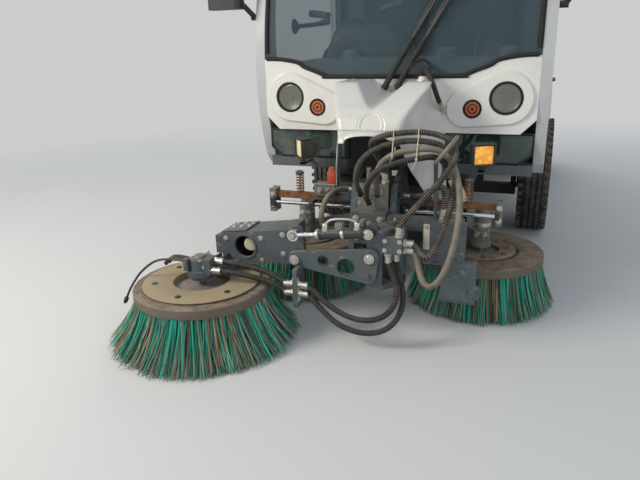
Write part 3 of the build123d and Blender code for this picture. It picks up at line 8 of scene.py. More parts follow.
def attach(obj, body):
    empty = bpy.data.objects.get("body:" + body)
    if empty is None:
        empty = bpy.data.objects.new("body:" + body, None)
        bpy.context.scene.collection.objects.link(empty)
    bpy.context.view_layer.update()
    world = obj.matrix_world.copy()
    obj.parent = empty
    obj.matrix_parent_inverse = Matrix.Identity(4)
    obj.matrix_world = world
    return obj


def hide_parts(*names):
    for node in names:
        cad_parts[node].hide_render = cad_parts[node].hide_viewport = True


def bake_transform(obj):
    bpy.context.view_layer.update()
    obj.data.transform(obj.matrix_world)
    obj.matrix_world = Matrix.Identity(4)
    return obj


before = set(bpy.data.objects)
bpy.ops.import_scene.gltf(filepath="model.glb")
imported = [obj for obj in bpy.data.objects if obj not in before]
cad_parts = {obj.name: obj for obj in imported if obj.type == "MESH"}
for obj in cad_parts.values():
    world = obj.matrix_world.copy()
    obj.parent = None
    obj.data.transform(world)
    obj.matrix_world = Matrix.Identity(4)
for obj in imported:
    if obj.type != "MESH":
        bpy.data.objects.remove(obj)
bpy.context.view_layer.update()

bl_info = {
    "name": "Compact road sweeper",
    "version": (1, 0, 0),
    "blender": (4, 5, 0),
    "location": "3D View > Sidebar > Sweeper",
    "description": "Dresses the packed road sweeper with its looks and sets a studio round it",
    "category": "Object",
}

# the machine's own frame has its origin under the lamp panel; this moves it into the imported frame
SHIFT = Vector((0.0675, -1.1925, 0.0))
SIDES = ((1, "left"), (-1, "right"))
UP, AHEAD = (0, 0, 1), (0, -1, 0)

# places that several pieces take, in the machine's own frame, in metres; those of a pair are the left one's
WHEEL_X, WHEEL_Z = 0.615, 0.330
AXLES = (("front", 1.150), ("rear", 2.900))
SIDE_BRUSH, FRONT_BRUSH = (0.412, -0.010), (-0.600, -0.700)
HEADLAMP, INDICATOR, WORK_LAMP = (0.476, 0.882), (0.343, 0.838), (0.400, 0.665)
MIRROR = (0.765, 1.418)
SLEW_PIN = (0.125, -0.470)
# the parallelogram's pins as (X, Z), at the slew bracket and at the box arm
LOW_PINS = ((0.060, 0.355), (-0.240, 0.322))
HIGH_PINS = ((0.060, 0.455), (-0.240, 0.422))
REAR_FACE, LOCKER_FACE = 3.4585, 0.6222
HOSE_RADIUS = 0.012


def at(x, y, z):
    """A point of the machine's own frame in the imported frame."""
    return Vector((x, y, z)) + SHIFT


# ---- shader maths


class Value:
    """A socket that Python's operators work on, each adding its Math node."""

    def __init__(self, paint, socket):
        self.paint = paint
        self.socket = socket

    def __add__(self, other):
        return self.paint.maths("ADD", self, other)

    def __mul__(self, other):
        return self.paint.maths("MULTIPLY", self, other)

    def __sub__(self, other):
        return self.paint.maths("SUBTRACT", self, other)

    def __rsub__(self, other):
        return self.paint.maths("SUBTRACT", other, self)

    def clamp(self):
        """Held between 0 and 1."""
        return self.paint.node("ShaderNodeClamp", {}, {0: self})

    def step(self, low, high):
        """0 below low, 1 above high, smooth between."""
        settings = {"interpolation_type": "SMOOTHSTEP"}
        return self.paint.node("ShaderNodeMapRange", settings, {0: self, 1: low, 2: high, 3: 0.0, 4: 1.0})


class Paint:
    """A material under work: its nodes are added by one method and read back as values."""

    def __init__(self, name):
        self.material = bpy.data.materials.new(name)
        self.material.use_nodes = True
        self.tree = self.material.node_tree
        self.shader = self.tree.nodes["Principled BSDF"]
        self.coordinates = self.node("ShaderNodeTexCoord", {}, {}, "Object")

    def _link(self, value, socket):
        """Links a value to a socket, or sets the socket to a plain number or colour."""
        if isinstance(value, Value):
            self.tree.links.new(value.socket, socket)
        elif socket.type == "RGBA":
            socket.default_value = (*value, 1.0)
        else:
            socket.default_value = value

    def node(self, kind, settings, inputs, output=0):
        """A new node with its settings and inputs, read at one of its outputs."""
        made = self.tree.nodes.new(kind)
        for name, value in settings.items():
            setattr(made, name, value)
        for name, value in inputs.items():
            self._link(value, made.inputs[name])
        return Value(self, made.outputs[output])

    def set(self, socket, value):
        """Gives the surface one of its looks, by the name of the shader's socket."""
        self._link(value, self.shader.inputs[socket])

    def maths(self, operation, *values):
        """One Math node on values or plain numbers."""
        return self.node("ShaderNodeMath", {"operation": operation}, dict(enumerate(values)))

    def place(self, scale=(1, 1, 1)):
        """Object coordinates, stretched by a scale."""
        return self.node("ShaderNodeMapping", {}, {"Vector": self.coordinates, "Scale": scale})

    def noise(self, scale, detail=4.0, rough=0.55, stretch=(1, 1, 1)):
        """Soft noise about the middle of 0 to 1."""
        inputs = {"Vector": self.place(stretch), "Scale": scale, "Detail": detail, "Roughness": rough}
        return self.node("ShaderNodeTexNoise", {}, inputs)

    def cells(self, scale):
        """The distance to the nearest of scattered points."""
        return self.node("ShaderNodeTexVoronoi", {}, {"Vector": self.place(), "Scale": scale}, "Distance")

    def axis(self, index):
        """One object coordinate, 0 for X, 1 for Y, 2 for Z."""
        return self.node("ShaderNodeSeparateXYZ", {}, {0: self.place()}, index)

    def facing_up(self):
        """How much of the surface's normal points up."""
        normal = self.node("ShaderNodeNewGeometry", {}, {}, "Normal")
        return self.node("ShaderNodeSeparateXYZ", {}, {0: normal}, 2)

    def mix(self, factor, first, second):
        """One colour at a factor of 0, the other at 1."""
        return self.node("ShaderNodeMix", {"data_type": "RGBA"}, {0: factor, 6: first, 7: second}, 2)

    def ramp(self, value, *stops):
        """A colour ramp through stops of (position, colour)."""
        made = self.node("ShaderNodeValToRGB", {}, {0: value})
        elements = made.socket.node.color_ramp.elements
        while len(elements) < len(stops):
            elements.new(0.5)
        for element, (position, colour) in zip(elements, stops):
            element.position = position
            element.color = (*colour, 1.0)
        return made

    def bump(self, height, strength, distance):
        """Roughens the surface's normal by a height; the distance is in metres."""
        inputs = {"Height": height, "Strength": strength, "Distance": distance}
        self.set("Normal", self.node("ShaderNodeBump", {}, inputs))


MADE = {}


def finish_of(name):
    """The finished material of that name, made once."""
    if name not in MADE:
        paint = Paint(name)
        maker, *values = FINISHES[name]
        maker(paint, *values)
        MADE[name] = paint.material
    return MADE[name]


def shade(colour, share):
    """A colour made darker, or lighter up to 1."""
    return tuple(min(1.0, c * share) for c in colour)


def shell_paint(p, base, soil, gloss):
    """Painted or gel coated shell: soft mottling, road film that is heavier low down, mud specks."""
    p.set("Roughness", (p.noise(9.0, 3.0) * 0.22 + gloss).clamp())
    film = (p.noise(3.5, 6.0, 0.65) * 1.4 - p.axis(2) * 0.55).step(0.15, 0.75)
    specks = 1.0 - p.cells(160.0).step(0.10, 0.17)
    where = p.noise(7.0, 3.0).step(0.52, 0.66)
    dirty = p.mix(film * 0.42, p.mix(p.noise(2.2, 5.0), base, shade(base, 0.93)), soil)
    p.set("Base Color", p.mix(specks * where * 0.75, dirty, (0.10, 0.085, 0.07)))
    p.set("Coat Weight", 0.35)
    p.set("Coat Roughness", 0.12)
    p.bump(p.noise(240.0, 2.0) * 0.25 + p.noise(18.0, 2.0), 0.10, 0.0006)


def steel_paint(p, base, wear, dust):
    """Painted steel: chips and bare edges, rust blooms, dust on what faces up."""
    patches = p.noise(14.0, 7.0, 0.7)
    rust = p.noise(32.0, 6.0, 0.75).step(wear, wear + 0.10)
    scratches = p.noise(26.0, 4.0, 0.6, (1, 9, 1.5)).step(0.60, 0.70)
    up = p.facing_up().step(0.35, 0.95)
    tone = p.mix(patches, shade(base, 0.72), shade(base, 1.35))
    tone = p.mix(scratches * 0.30, tone, (0.42, 0.43, 0.42))
    tone = p.mix(rust * 0.85, tone, p.ramp(p.noise(60.0), (0.3, (0.10, 0.035, 0.012)), (0.7, (0.30, 0.13, 0.045))))
    tone = p.mix(up * dust * patches.step(0.3, 0.7), tone, (0.34, 0.29, 0.22))
    p.set("Base Color", tone)
    p.set("Roughness", (patches * 0.30 + 0.36 + rust * 0.3).clamp())
    p.set("Metallic", 0.15)
    p.bump(patches + rust * 0.8, 0.30, 0.0012)


def rubber_like(p, base, dust, grain=120.0):
    """Rubber with a dry dusty film, heavier on what faces up."""
    up = p.facing_up().step(-0.2, 0.9)
    grime = p.noise(22.0, 6.0, 0.7).step(0.35, 0.75)
    tone = p.mix(p.noise(50.0), base, shade(base, 1.7))
    p.set("Base Color", p.mix((grime * 0.6 + up * 0.5).clamp() * dust, tone, (0.36, 0.30, 0.22)))
    p.set("Roughness", (grime * 0.25 + 0.55).clamp())
    p.set("Specular IOR Level", 0.30)
    p.bump(p.noise(grain, 3.0), 0.25, 0.0006)


def moulded(p, base, gloss):
    """Grained moulded plastic with a thin dust film."""
    dust = (p.noise(6.0, 6.0) * 1.2).step(0.45, 0.9) * p.facing_up().step(-0.3, 0.9)
    tone = p.mix(p.noise(40.0), base, tuple(c * 1.35 + 0.004 for c in base))
    p.set("Base Color", p.mix(dust * 0.35, tone, (0.33, 0.29, 0.23)))
    p.set("Roughness", (p.noise(70.0) * 0.2 + gloss).clamp())
    p.bump(p.cells(700.0), 0.18, 0.0004)


def bare_metal(p, base, roughness):
    """Machined or plated metal with fine drawn lines and stains."""
    lines = p.noise(300.0, 2.0, 0.5, (1, 0.05, 1))
    stain = p.noise(24.0, 6.0, 0.7).step(0.5, 0.85)
    p.set("Base Color", p.mix(stain * 0.55, p.mix(lines, base, shade(base, 0.8)), (0.25, 0.19, 0.13)))
    p.set("Metallic", (1.0 - stain * 0.5).clamp())
    p.set("Roughness", (lines * 0.12 + roughness + stain * 0.3).clamp())
    p.bump(lines, 0.08, 0.0003)


def tinted(p, tint, alpha):
    """Tinted glass: clear body with a faint film of dust and dried drops."""
    drops = (1.0 - p.cells(70.0).step(0.06, 0.12)) * p.noise(5.0).step(0.45, 0.7)
    dust = (p.noise(4.0, 6.0, 0.7) * 1.3 - p.axis(2) * 0.35).step(0.25, 0.8)
    p.set("Base Color", p.mix(dust * 0.25, tint, (0.45, 0.46, 0.42)))
    p.set("Alpha", (dust * 0.16 + drops * 0.12 + alpha).clamp())
    p.set("Roughness", (dust * 0.18 + 0.03).clamp())
    p.set("IOR", 1.5)
    p.set("Coat Weight", 0.6)
    p.bump(drops, 0.04, 0.0003)


def lens(p, tint, alpha):
    """Lamp lens with moulded flutes."""
    p.set("Base Color", p.mix(p.noise(60.0), tint, shade(tint, 1.25)))
    p.set("Alpha", (p.noise(30.0) * 0.1 + alpha).clamp())
    p.set("Roughness", (p.noise(12.0) * 0.12 + 0.05).clamp())
    p.bump(p.maths("SINE", p.axis(0) * 900.0), 0.25, 0.0008)


def bristle_paint(p):
    """Bristles: teal green and brown strands, dusty brown at their tips."""
    strand = p.ramp(
        p.node("ShaderNodeAttribute", {"attribute_name": "tone"}, {}, "Fac"),
        (0.0, (0.004, 0.09, 0.06)), (0.22, (0.010, 0.26, 0.17)), (0.44, (0.02, 0.46, 0.31)),
        (0.56, (0.03, 0.22, 0.15)), (0.63, (0.045, 0.032, 0.022)), (0.84, (0.17, 0.11, 0.06)),
        (1.0, (0.42, 0.33, 0.22)),
    )
    tip = (1.0 - p.axis(2).step(0.0, 0.12)) * p.noise(35.0).step(0.35, 0.75)
    p.set("Base Color", p.mix(tip * 0.55, strand, (0.24, 0.18, 0.12)))
    p.set("Roughness", (p.noise(90.0) * 0.25 + 0.38).clamp())
    p.bump(p.noise(400.0), 0.15, 0.0004)


def disc_paint(p, base, dust):
    """Brush disc: worn moulding with patches of scuffing, pits and caked dust."""
    patches = p.noise(20.0, 8.0, 0.78)
    pits = p.cells(90.0).step(0.05, 0.25)
    up = p.facing_up().step(0.1, 0.9)
    tone = p.mix(patches, shade(base, 0.6), shade(base, 1.25))
    tone = p.mix(up * patches.step(0.35, 0.65) * dust, tone, (0.36, 0.28, 0.19))
    p.set("Base Color", p.mix((1.0 - pits) * 0.4, tone, (0.07, 0.05, 0.04)))
    p.set("Roughness", (patches * 0.2 + 0.68).clamp())
    p.bump(patches + pits * 0.4, 0.45, 0.002)


def cloth(p, base):
    """Woven seat cloth: two crossing threads and a little nap."""
    warp, weft = (p.maths("SINE", place * 2600.0) for place in (p.axis(0), p.axis(1) + p.axis(2)))
    weave = (warp * weft * 0.5 + 0.5).clamp()
    p.set("Base Color", p.mix((weave * 0.5 + p.noise(24.0) * 0.5).clamp(), shade(base, 0.55), base))
    p.set("Roughness", (weave * 0.1 + 0.82).clamp())
    p.bump(weave + p.noise(300.0) * 0.5, 0.4, 0.0008)


def painted_sun_glint(p, colour, strength):
    """A lens glowing with painted sunlight: its emission stands in for the sun glinting on the glass; the lamp is not
    switched on.
    """
    cells = p.cells(55.0)
    p.set("Base Color", p.mix(cells, colour, shade(colour, 0.6)))
    p.set("Emission Color", p.mix(cells.step(0.0, 0.6), colour, shade(colour, 0.45)))
    p.set("Emission Strength", strength)
    p.set("Roughness", (p.noise(20.0) * 0.1 + 0.12).clamp())
    p.bump(cells, 0.3, 0.001)


# for each finish, how it is painted and what with
FINISHES = {
    "shell_white": (shell_paint, (0.80, 0.785, 0.73), (0.50, 0.44, 0.35), 0.22),
    "nose_paint": (shell_paint, (0.74, 0.73, 0.68), (0.40, 0.34, 0.26), 0.24),
    "hoop_silver": (shell_paint, (0.52, 0.53, 0.53), (0.36, 0.33, 0.28), 0.24),
    "rim_paint": (shell_paint, (0.62, 0.62, 0.60), (0.25, 0.21, 0.17), 0.32),
    "frame_grey": (steel_paint, (0.082, 0.100, 0.107), 0.66, 0.50),
    "casting": (steel_paint, (0.17, 0.165, 0.15), 0.60, 0.65),
    "dark_metal": (steel_paint, (0.035, 0.035, 0.036), 0.64, 0.6),
    "ring_steel": (steel_paint, (0.20, 0.185, 0.15), 0.60, 0.7),
    "rusty": (steel_paint, (0.22, 0.10, 0.05), 0.40, 0.45),
    "zinc": (bare_metal, (0.62, 0.60, 0.55), 0.34),
    "chrome": (bare_metal, (0.85, 0.86, 0.88), 0.10),
    "reflector": (bare_metal, (0.52, 0.52, 0.47), 0.32),
    "mirror_face": (bare_metal, (0.75, 0.77, 0.78), 0.05),
    "cast_alloy": (bare_metal, (0.33, 0.32, 0.30), 0.45),
    "tyre": (rubber_like, (0.016, 0.016, 0.016), 0.55, 90.0),
    "rubber": (rubber_like, (0.008, 0.008, 0.009), 0.07),
    "red_rubber": (rubber_like, (0.36, 0.045, 0.025), 0.3),
    "hose_dusty": (rubber_like, (0.034, 0.031, 0.028), 0.68),
    "hose_black": (rubber_like, (0.014, 0.014, 0.016), 0.32),
    "hose_plain": (rubber_like, (0.075, 0.070, 0.061), 0.75),
    "hose_groove": (rubber_like, (0.012, 0.012, 0.013), 0.12),
    "screen_glass": (tinted, (0.055, 0.115, 0.145), 0.27),
    "door_glass": (tinted, (0.11, 0.19, 0.20), 0.34),
    "lower_glass": (tinted, (0.018, 0.045, 0.034), 0.80),
    "black_plastic": (moulded, (0.018, 0.018, 0.020), 0.42),
    "grey_plastic": (moulded, (0.085, 0.095, 0.10), 0.55),
    "dash_plastic": (moulded, (0.060, 0.072, 0.078), 0.6),
    "lamp_lens": (lens, (0.15, 0.155, 0.135), 0.62),
    "amber_lens": (lens, (0.50, 0.135, 0.045), 0.80),
    "red_lens": (lens, (0.42, 0.012, 0.012), 0.9),
    "beacon_amber": (lens, (0.85, 0.26, 0.02), 0.88),
    # painted sunlight: the work lamps' glass glows to stand for the sun glinting on it
    "amber_painted_glint": (painted_sun_glint, (1.0, 0.42, 0.06), 0.9),
    "pale_painted_glint": (painted_sun_glint, (0.95, 0.80, 0.48), 0.35),
    "bristle": (bristle_paint,),
    "disc_brown": (disc_paint, (0.165, 0.130, 0.100), 0.8),
    "ring_beige": (disc_paint, (0.42, 0.33, 0.20), 0.5),
    "plate_beige": (disc_paint, (0.60, 0.54, 0.40), 0.2),
    "seat_cloth": (cloth, (0.085, 0.082, 0.080)),
    "piping": (cloth, (0.03, 0.03, 0.03)),
}


# ---- mesh making


# points nearer than this are joined when a piece is finished
SAME_POINT = 0.00002


def square_to(axis):
    """An axis made one long, and two directions square to it and to each other."""
    axis = Vector(axis).normalized()
    side = axis.orthogonal().normalized()
    return axis, side, axis.cross(side)


def circle(centre, axis, radius, count, along=0.0):
    """Points round an axis through a centre, in one plane along it."""
    axis, side, other = square_to(axis)
    centre = Vector(centre) + axis * along
    return [
        centre + (side * math.cos(a) + other * math.sin(a)) * radius
        for a in (2 * math.pi * k / count for k in range(count))
    ]


class Form:
    """The mesh of one piece, gathered in the machine's own frame, in metres."""

    def __init__(self):
        self.bm = bmesh.new()
        self.finishes = []

    def index(self, finish):
        """The material index of a finish on this piece."""
        if finish not in self.finishes:
            self.finishes.append(finish)
        return self.finishes.index(finish)

    def faces(self, points, polygons, finish, smooth=True):
        """Adds points and the polygons between them, in one finish."""
        verts = [self.bm.verts.new(p) for p in points]
        index = self.index(finish)
        for polygon in polygons:
            face = self.bm.faces.new([verts[i] for i in polygon])
            face.material_index = index
            face.smooth = smooth

    def rings(self, rings, finish, closed=True, caps=True, smooth=True, loop=False):
        """Skin over rings of points; a ring is closed on itself unless told otherwise."""
        count, last = len(rings[0]), len(rings) - 1
        polygons = []
        for i in range(last + 1 if loop else last):
            base, above = i * count, (i + 1) % (last + 1) * count
            for j in range(count if closed else count - 1):
                k = (j + 1) % count
                polygons.append((base + j, base + k, above + k, above + j))
        if caps and closed and not loop:
            polygons.append(tuple(reversed(range(count))))
            polygons.append(tuple(range(last * count, (last + 1) * count)))
        self.faces([p for ring in rings for p in ring], polygons, finish, smooth)

    def turned(self, centre, axis, profile, finish, steps=32, smooth=True):
        """Turn a profile of (radius, distance along the axis) about an axis through a centre."""
        axis, side, other = square_to(axis)
        centre = Vector(centre)
        rings = []
        for step in range(steps):
            angle = 2 * math.pi * step / steps
            out = side * math.cos(angle) + other * math.sin(angle)
            rings.append([centre + out * radius + axis * along for radius, along in profile])
        self.rings(rings, finish, closed=False, caps=False, smooth=smooth, loop=True)

    def tube(self, path, radius, finish, sides=10, caps=True):
        """A round tube along points; the radius is one number or one for each point."""
        path = [Vector(p) for p in path]
        radii = radius if hasattr(radius, "__len__") else [radius] * len(path)
        normal = (path[1] - path[0]).orthogonal().normalized()
        rings = []
        for i, point in enumerate(path):
            along = (path[min(i + 1, len(path) - 1)] - path[max(i - 1, 0)]).normalized()
            normal = (normal - along * normal.dot(along)).normalized()
            other = along.cross(normal)
            rings.append([
                point + (normal * math.cos(a) + other * math.sin(a)) * radii[i]
                for a in (2 * math.pi * k / sides for k in range(sides))
            ])
        self.rings(rings, finish, caps=caps)

    def brick(self, low, high, finish, bevel=0.004, turn=None, about=None, steps=2):
        """A block between two corners with rounded edges, turned about a point."""
        made = bmesh.new()
        bmesh.ops.create_cube(made, size=1.0)
        size, middle = Vector(high) - Vector(low), (Vector(high) + Vector(low)) / 2
        for vert in made.verts:
            vert.co = vert.co * size
        if bevel:
            bevel = min(bevel, 0.45 * min(abs(s) for s in size))
            bmesh.ops.bevel(made, geom=list(made.edges), offset=bevel, segments=steps, affect="EDGES", profile=0.5)
        for vert in made.verts:
            vert.co += middle
            if turn:
                vert.co = Vector(about) + turn @ (vert.co - Vector(about))
        self._take(made, finish)

    def slab(self, outline, across, thickness, finish, bevel=0.002, holes=()):
        """A plate: an outline in a plane, given a thickness along a direction. Holes are (centre, radius)."""
        flat = bmesh.new()
        edges = []
        for loop in (outline, *(circle(centre, across, radius, 24) for centre, radius in holes)):
            verts = [flat.verts.new(p) for p in loop]
            edges += [flat.edges.new((a, b)) for a, b in zip(verts, verts[1:] + verts[:1])]
        bmesh.ops.triangle_fill(flat, use_beauty=True, use_dissolve=True, edges=edges)
        grown = bmesh.ops.extrude_face_region(flat, geom=list(flat.faces))
        for item in grown["geom"]:
            if isinstance(item, bmesh.types.BMVert):
                item.co += Vector(across) * thickness
        bmesh.ops.recalc_face_normals(flat, faces=flat.faces)
        if bevel:
            sharp = [e for e in flat.edges if len(e.link_faces) == 2 and e.calc_face_angle(0) > 0.9]
            bmesh.ops.bevel(flat, geom=sharp, offset=bevel, segments=1, affect="EDGES", profile=0.5)
        self._take(flat, finish)

    def _take(self, made, finish):
        """Copies a mesh into this one, flat shaded, and frees it."""
        bmesh.ops.recalc_face_normals(made, faces=made.faces)
        made.verts.index_update()
        polygons = [[v.index for v in face.verts] for face in made.faces]
        self.faces([v.co for v in made.verts], polygons, finish, smooth=False)
        made.free()

    def turn_from(self, mark, turn, about, move):
        """Turn everything that was added since a count of vertices, then move it."""
        self.bm.verts.ensure_lookup_table()
        for vert in self.bm.verts[mark:]:
            vert.co = Vector(about) + Vector(move) + turn @ (vert.co - Vector(about))

    def bolt(self, centre, axis, radius, finish="zinc", height=None):
        """A hexagon head on a washer."""
        height = height or radius * 0.75
        for width, low, high, count in ((radius * 1.35, 0, radius * 0.22, 16), (radius, radius * 0.2, height, 6)):
            self.rings([
                circle(centre, axis, width * shrink, count, along)
                for along, shrink in ((low, 1.0), (high * 0.85, 1.0), (high, 0.86))
            ], finish, smooth=False)

    def union(self, centre, axis, heights, flange, seat):
        """An eight sided union on its flange, by the heights of its top, its edge and its shoulder."""
        top, edge, shoulder = heights
        self.turned(centre, axis, [
            (0.0, top), (0.008, top), (0.0095, edge), (0.0095, shoulder), (flange, shoulder), (flange, seat)
        ], "zinc", 8, smooth=False)

    def coil(self, start, end, radius, wire, turns, finish):
        """A coil spring between two points."""
        start, end, per_turn = Vector(start), Vector(end), 14
        _, side, other = square_to(end - start)
        path = []
        for i in range(turns * per_turn + 1):
            angle = 2 * math.pi * i / per_turn
            out = (side * math.cos(angle) + other * math.sin(angle)) * radius
            path.append(start.lerp(end, i / (turns * per_turn)) + out)
        self.tube(path, wire, finish, sides=6)

    def finish(self, name, body, slot, replaces=(), sharp=40):
        """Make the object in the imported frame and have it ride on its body."""
        bmesh.ops.remove_doubles(self.bm, verts=self.bm.verts, dist=SAME_POINT)
        bmesh.ops.recalc_face_normals(self.bm, faces=self.bm.faces)
        for vert in self.bm.verts:
            vert.co += SHIFT
        mesh = bpy.data.meshes.new(name)
        self.bm.to_mesh(mesh)
        self.bm.free()
        mesh.set_sharp_from_angle(angle=math.radians(sharp))
        return settle(bpy.data.objects.new(name, mesh), body, replaces, self.finishes)


def settle(piece, body, replaces=(), finishes=()):
    """Link a piece, give it its finishes, and have it ride and stand for its nodes."""
    if piece.name not in bpy.context.scene.collection.objects:
        bpy.context.scene.collection.objects.link(piece)
    for name in finishes:
        piece.data.materials.append(finish_of(name))
    if body:
        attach(piece, body)
    if replaces:
        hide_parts(*replaces)
    return piece


def dress(node, finish):
    """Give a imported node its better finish."""
    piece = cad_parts[node]
    if not piece.material_slots:
        piece.data.materials.append(finish_of(finish))
    for held in piece.material_slots:
        held.material = finish_of(finish)


def smoothed(points, steps=6):
    """A smooth line through points, for outlines and bent bars."""
    points = [Vector(p) for p in points]
    out = []
    for i in range(len(points) - 1):
        before, a, b = points[max(i - 1, 0)], points[i], points[i + 1]
        after = points[min(i + 2, len(points) - 1)]
        for t in (k / steps for k in range(steps)):
            out.append(
                0.5 * ((2 * a) + (b - before) * t + (2 * before - 5 * a + 4 * b - after) * t * t
                       + (3 * a - before - 3 * b + after) * t ** 3)
            )
    return out + [points[-1]]


def baked(holder):
    """An object's mesh as its modifiers leave it."""
    bpy.context.view_layer.update()
    return bpy.data.meshes.new_from_object(holder.evaluated_get(bpy.context.evaluated_depsgraph_get()))


# ---- Geometry Nodes


def new_tree(name, inputs):
    """An empty node tree with a mesh input, named sizes and a mesh output."""
    tree = bpy.data.node_groups.new(name, "GeometryNodeTree")
    tree.interface.new_socket(name="Mesh", in_out="INPUT", socket_type="NodeSocketGeometry")
    for label, kind, default in (*inputs, ("Material", "Material", None)):
        held = tree.interface.new_socket(name=label, in_out="INPUT", socket_type="NodeSocket" + kind)
        if default is not None:
            held.default_value = default
    tree.interface.new_socket(name="Mesh", in_out="OUTPUT", socket_type="NodeSocketGeometry")
    return tree, tree.nodes.new("NodeGroupInput")


def add(tree, kind, inputs, **settings):
    """A new node; an input is a plain value or a (node, output) pair, and so is what comes back."""
    node = tree.nodes.new(kind)
    for name, value in settings.items():
        setattr(node, name, value)
    for name, value in inputs.items():
        if isinstance(value, tuple):
            tree.links.new(value[0].outputs[value[1]], node.inputs[name])
        else:
            node.inputs[name].default_value = value
    return node, 0


def maths(tree, operation, first, second=0.0):
    """One Math node of a tree."""
    return add(tree, "ShaderNodeMath", {0: first, 1: second}, operation=operation)


def close_tree(tree, given, last):
    """Every tree ends in Realize Instances and Set Material."""
    real = add(tree, "GeometryNodeRealizeInstances", {0: last})
    painted = add(tree, "GeometryNodeSetMaterial", {"Geometry": real, "Material": (given, "Material")})
    add(tree, "NodeGroupOutput", {0: painted})
    return tree


def ring_tree():
    """Repeats a unit about the Z axis through its origin."""
    tree, given = new_tree("Repeat in a ring", [("Count", "Int", 12), ("Start", "Float", 0.0)])
    step = maths(tree, "DIVIDE", 2 * math.pi, (given, "Count"))
    angle = maths(tree, "MULTIPLY", add(tree, "GeometryNodeInputIndex", {}), step)
    angle = maths(tree, "ADD", angle, (given, "Start"))
    return close_tree(tree, given, add(tree, "GeometryNodeInstanceOnPoints", {
        "Points": add(tree, "GeometryNodePoints", {"Count": (given, "Count")}),
        "Instance": (given, "Mesh"),
        "Rotation": add(tree, "ShaderNodeCombineXYZ", {"Z": angle}),
    }))


def row_tree():
    """Repeats a unit along a step."""
    tree, given = new_tree("Repeat in a row", [("Count", "Int", 5), ("Step", "Vector", (0.1, 0.0, 0.0))])
    line = add(tree, "GeometryNodeMeshLine", {"Count": (given, "Count"), "Offset": (given, "Step")})
    return close_tree(tree, given, add(tree, "GeometryNodeInstanceOnPoints", {
        "Points": line, "Instance": (given, "Mesh")
    }))


def bristle_tree():
    """Sets bristles round a disc: each turned, leaned and shortened a little by chance, in tufts."""
    tree, given = new_tree("Bristles", [
        ("Count", "Int", 1200), ("Tufts", "Int", 60), ("Tuft width", "Float", 0.05), ("Root", "Float", 0.24),
        ("Depth", "Float", 0.02), ("Lean", "Float", 0.14), ("Shortest", "Float", 0.9), ("Seed", "Int", 1),
    ])

    def chance(low, high, shift):
        """A random number for each bristle; the shift keeps one draw apart from the others."""
        seed = maths(tree, "ADD", (given, "Seed"), float(shift))
        node, _ = add(tree, "FunctionNodeRandomValue", {2: low, 3: high, "Seed": seed})
        return node, 1

    def times(first, second):
        return maths(tree, "MULTIPLY", first, second)

    tuft = maths(tree, "MODULO", add(tree, "GeometryNodeInputIndex", {}), (given, "Tufts"))
    angle = times(tuft, maths(tree, "DIVIDE", 2 * math.pi, (given, "Tufts")))
    angle = maths(tree, "ADD", angle, times(chance(-1, 1, 1), (given, "Tuft width")))
    turned = maths(tree, "ADD", angle, times(chance(-1, 1, 2), (given, "Lean")))
    radius = maths(tree, "SUBTRACT", (given, "Root"), times(chance(0, 1, 3), (given, "Depth")))
    moved = add(tree, "GeometryNodeSetPosition", {
        "Geometry": add(tree, "GeometryNodePoints", {"Count": (given, "Count")}),
        "Position": add(tree, "ShaderNodeCombineXYZ", {
            "X": times(maths(tree, "COSINE", angle), radius), "Y": times(maths(tree, "SINE", angle), radius)
        }),
    })
    placed = add(tree, "GeometryNodeInstanceOnPoints", {
        "Points": moved,
        "Instance": (given, "Mesh"),
        "Rotation": add(tree, "ShaderNodeCombineXYZ", {"Z": turned}),
        "Scale": add(tree, "ShaderNodeCombineXYZ", {
            "X": chance(0.55, 1.0, 4), "Y": 1.0, "Z": chance((given, "Shortest"), 1.0, 5)
        }),
    })
    return close_tree(tree, given, add(tree, "GeometryNodeStoreNamedAttribute", {
        "Geometry": placed, "Name": "tone", "Value": chance(0, 1, 6)
    }, data_type="FLOAT", domain="INSTANCE"))


TREES = {}


def repeated(form, maker, settings, finish):
    """Runs a tree on a form's mesh and gives the result as a mesh of its own."""
    if maker not in TREES:
        TREES[maker] = maker()
    mesh = bpy.data.meshes.new("unit")
    form.bm.to_mesh(mesh)
    form.bm.free()
    holder = bpy.data.objects.new("unit", mesh)
    bpy.context.scene.collection.objects.link(holder)
    modifier = holder.modifiers.new("repeat", "NODES")
    modifier.node_group = TREES[maker]
    settings = {**settings, "Material": finish_of(finish)}
    for item in TREES[maker].interface.items_tree:
        if item.in_out == "INPUT" and item.name in settings:
            modifier[item.identifier] = settings[item.name]
    result = baked(holder)
    bpy.data.objects.remove(holder)
    return result


def add_repeated(target, form, maker, settings, finish, centre, turn=None):
    """Adds a repeated unit to a form, turned and then moved to a centre."""
    mesh = repeated(form, maker, settings, finish)
    place = Matrix.Translation(Vector(centre)) @ (turn.to_4x4() if turn else Matrix.Identity(4))
    polygons = [tuple(f.vertices) for f in mesh.polygons]
    target.faces([place @ v.co for v in mesh.vertices], polygons, finish, smooth=False)
    bpy.data.meshes.remove(mesh)


def bolt_ring(form, centre, ring, count, start, head, finish="zinc", height=None, turn=None):
    """Bolts in a ring about the Z axis, which a turn can lay over."""
    unit = Form()
    unit.bolt((ring, 0, 0), UP, head, finish, height)
    add_repeated(form, unit, ring_tree, {"Count": count, "Start": start}, finish, centre, turn)


ABOUT_X = Matrix(((0, 0, 1), (0, 1, 0), (-1, 0, 0)))


# ---- wheels


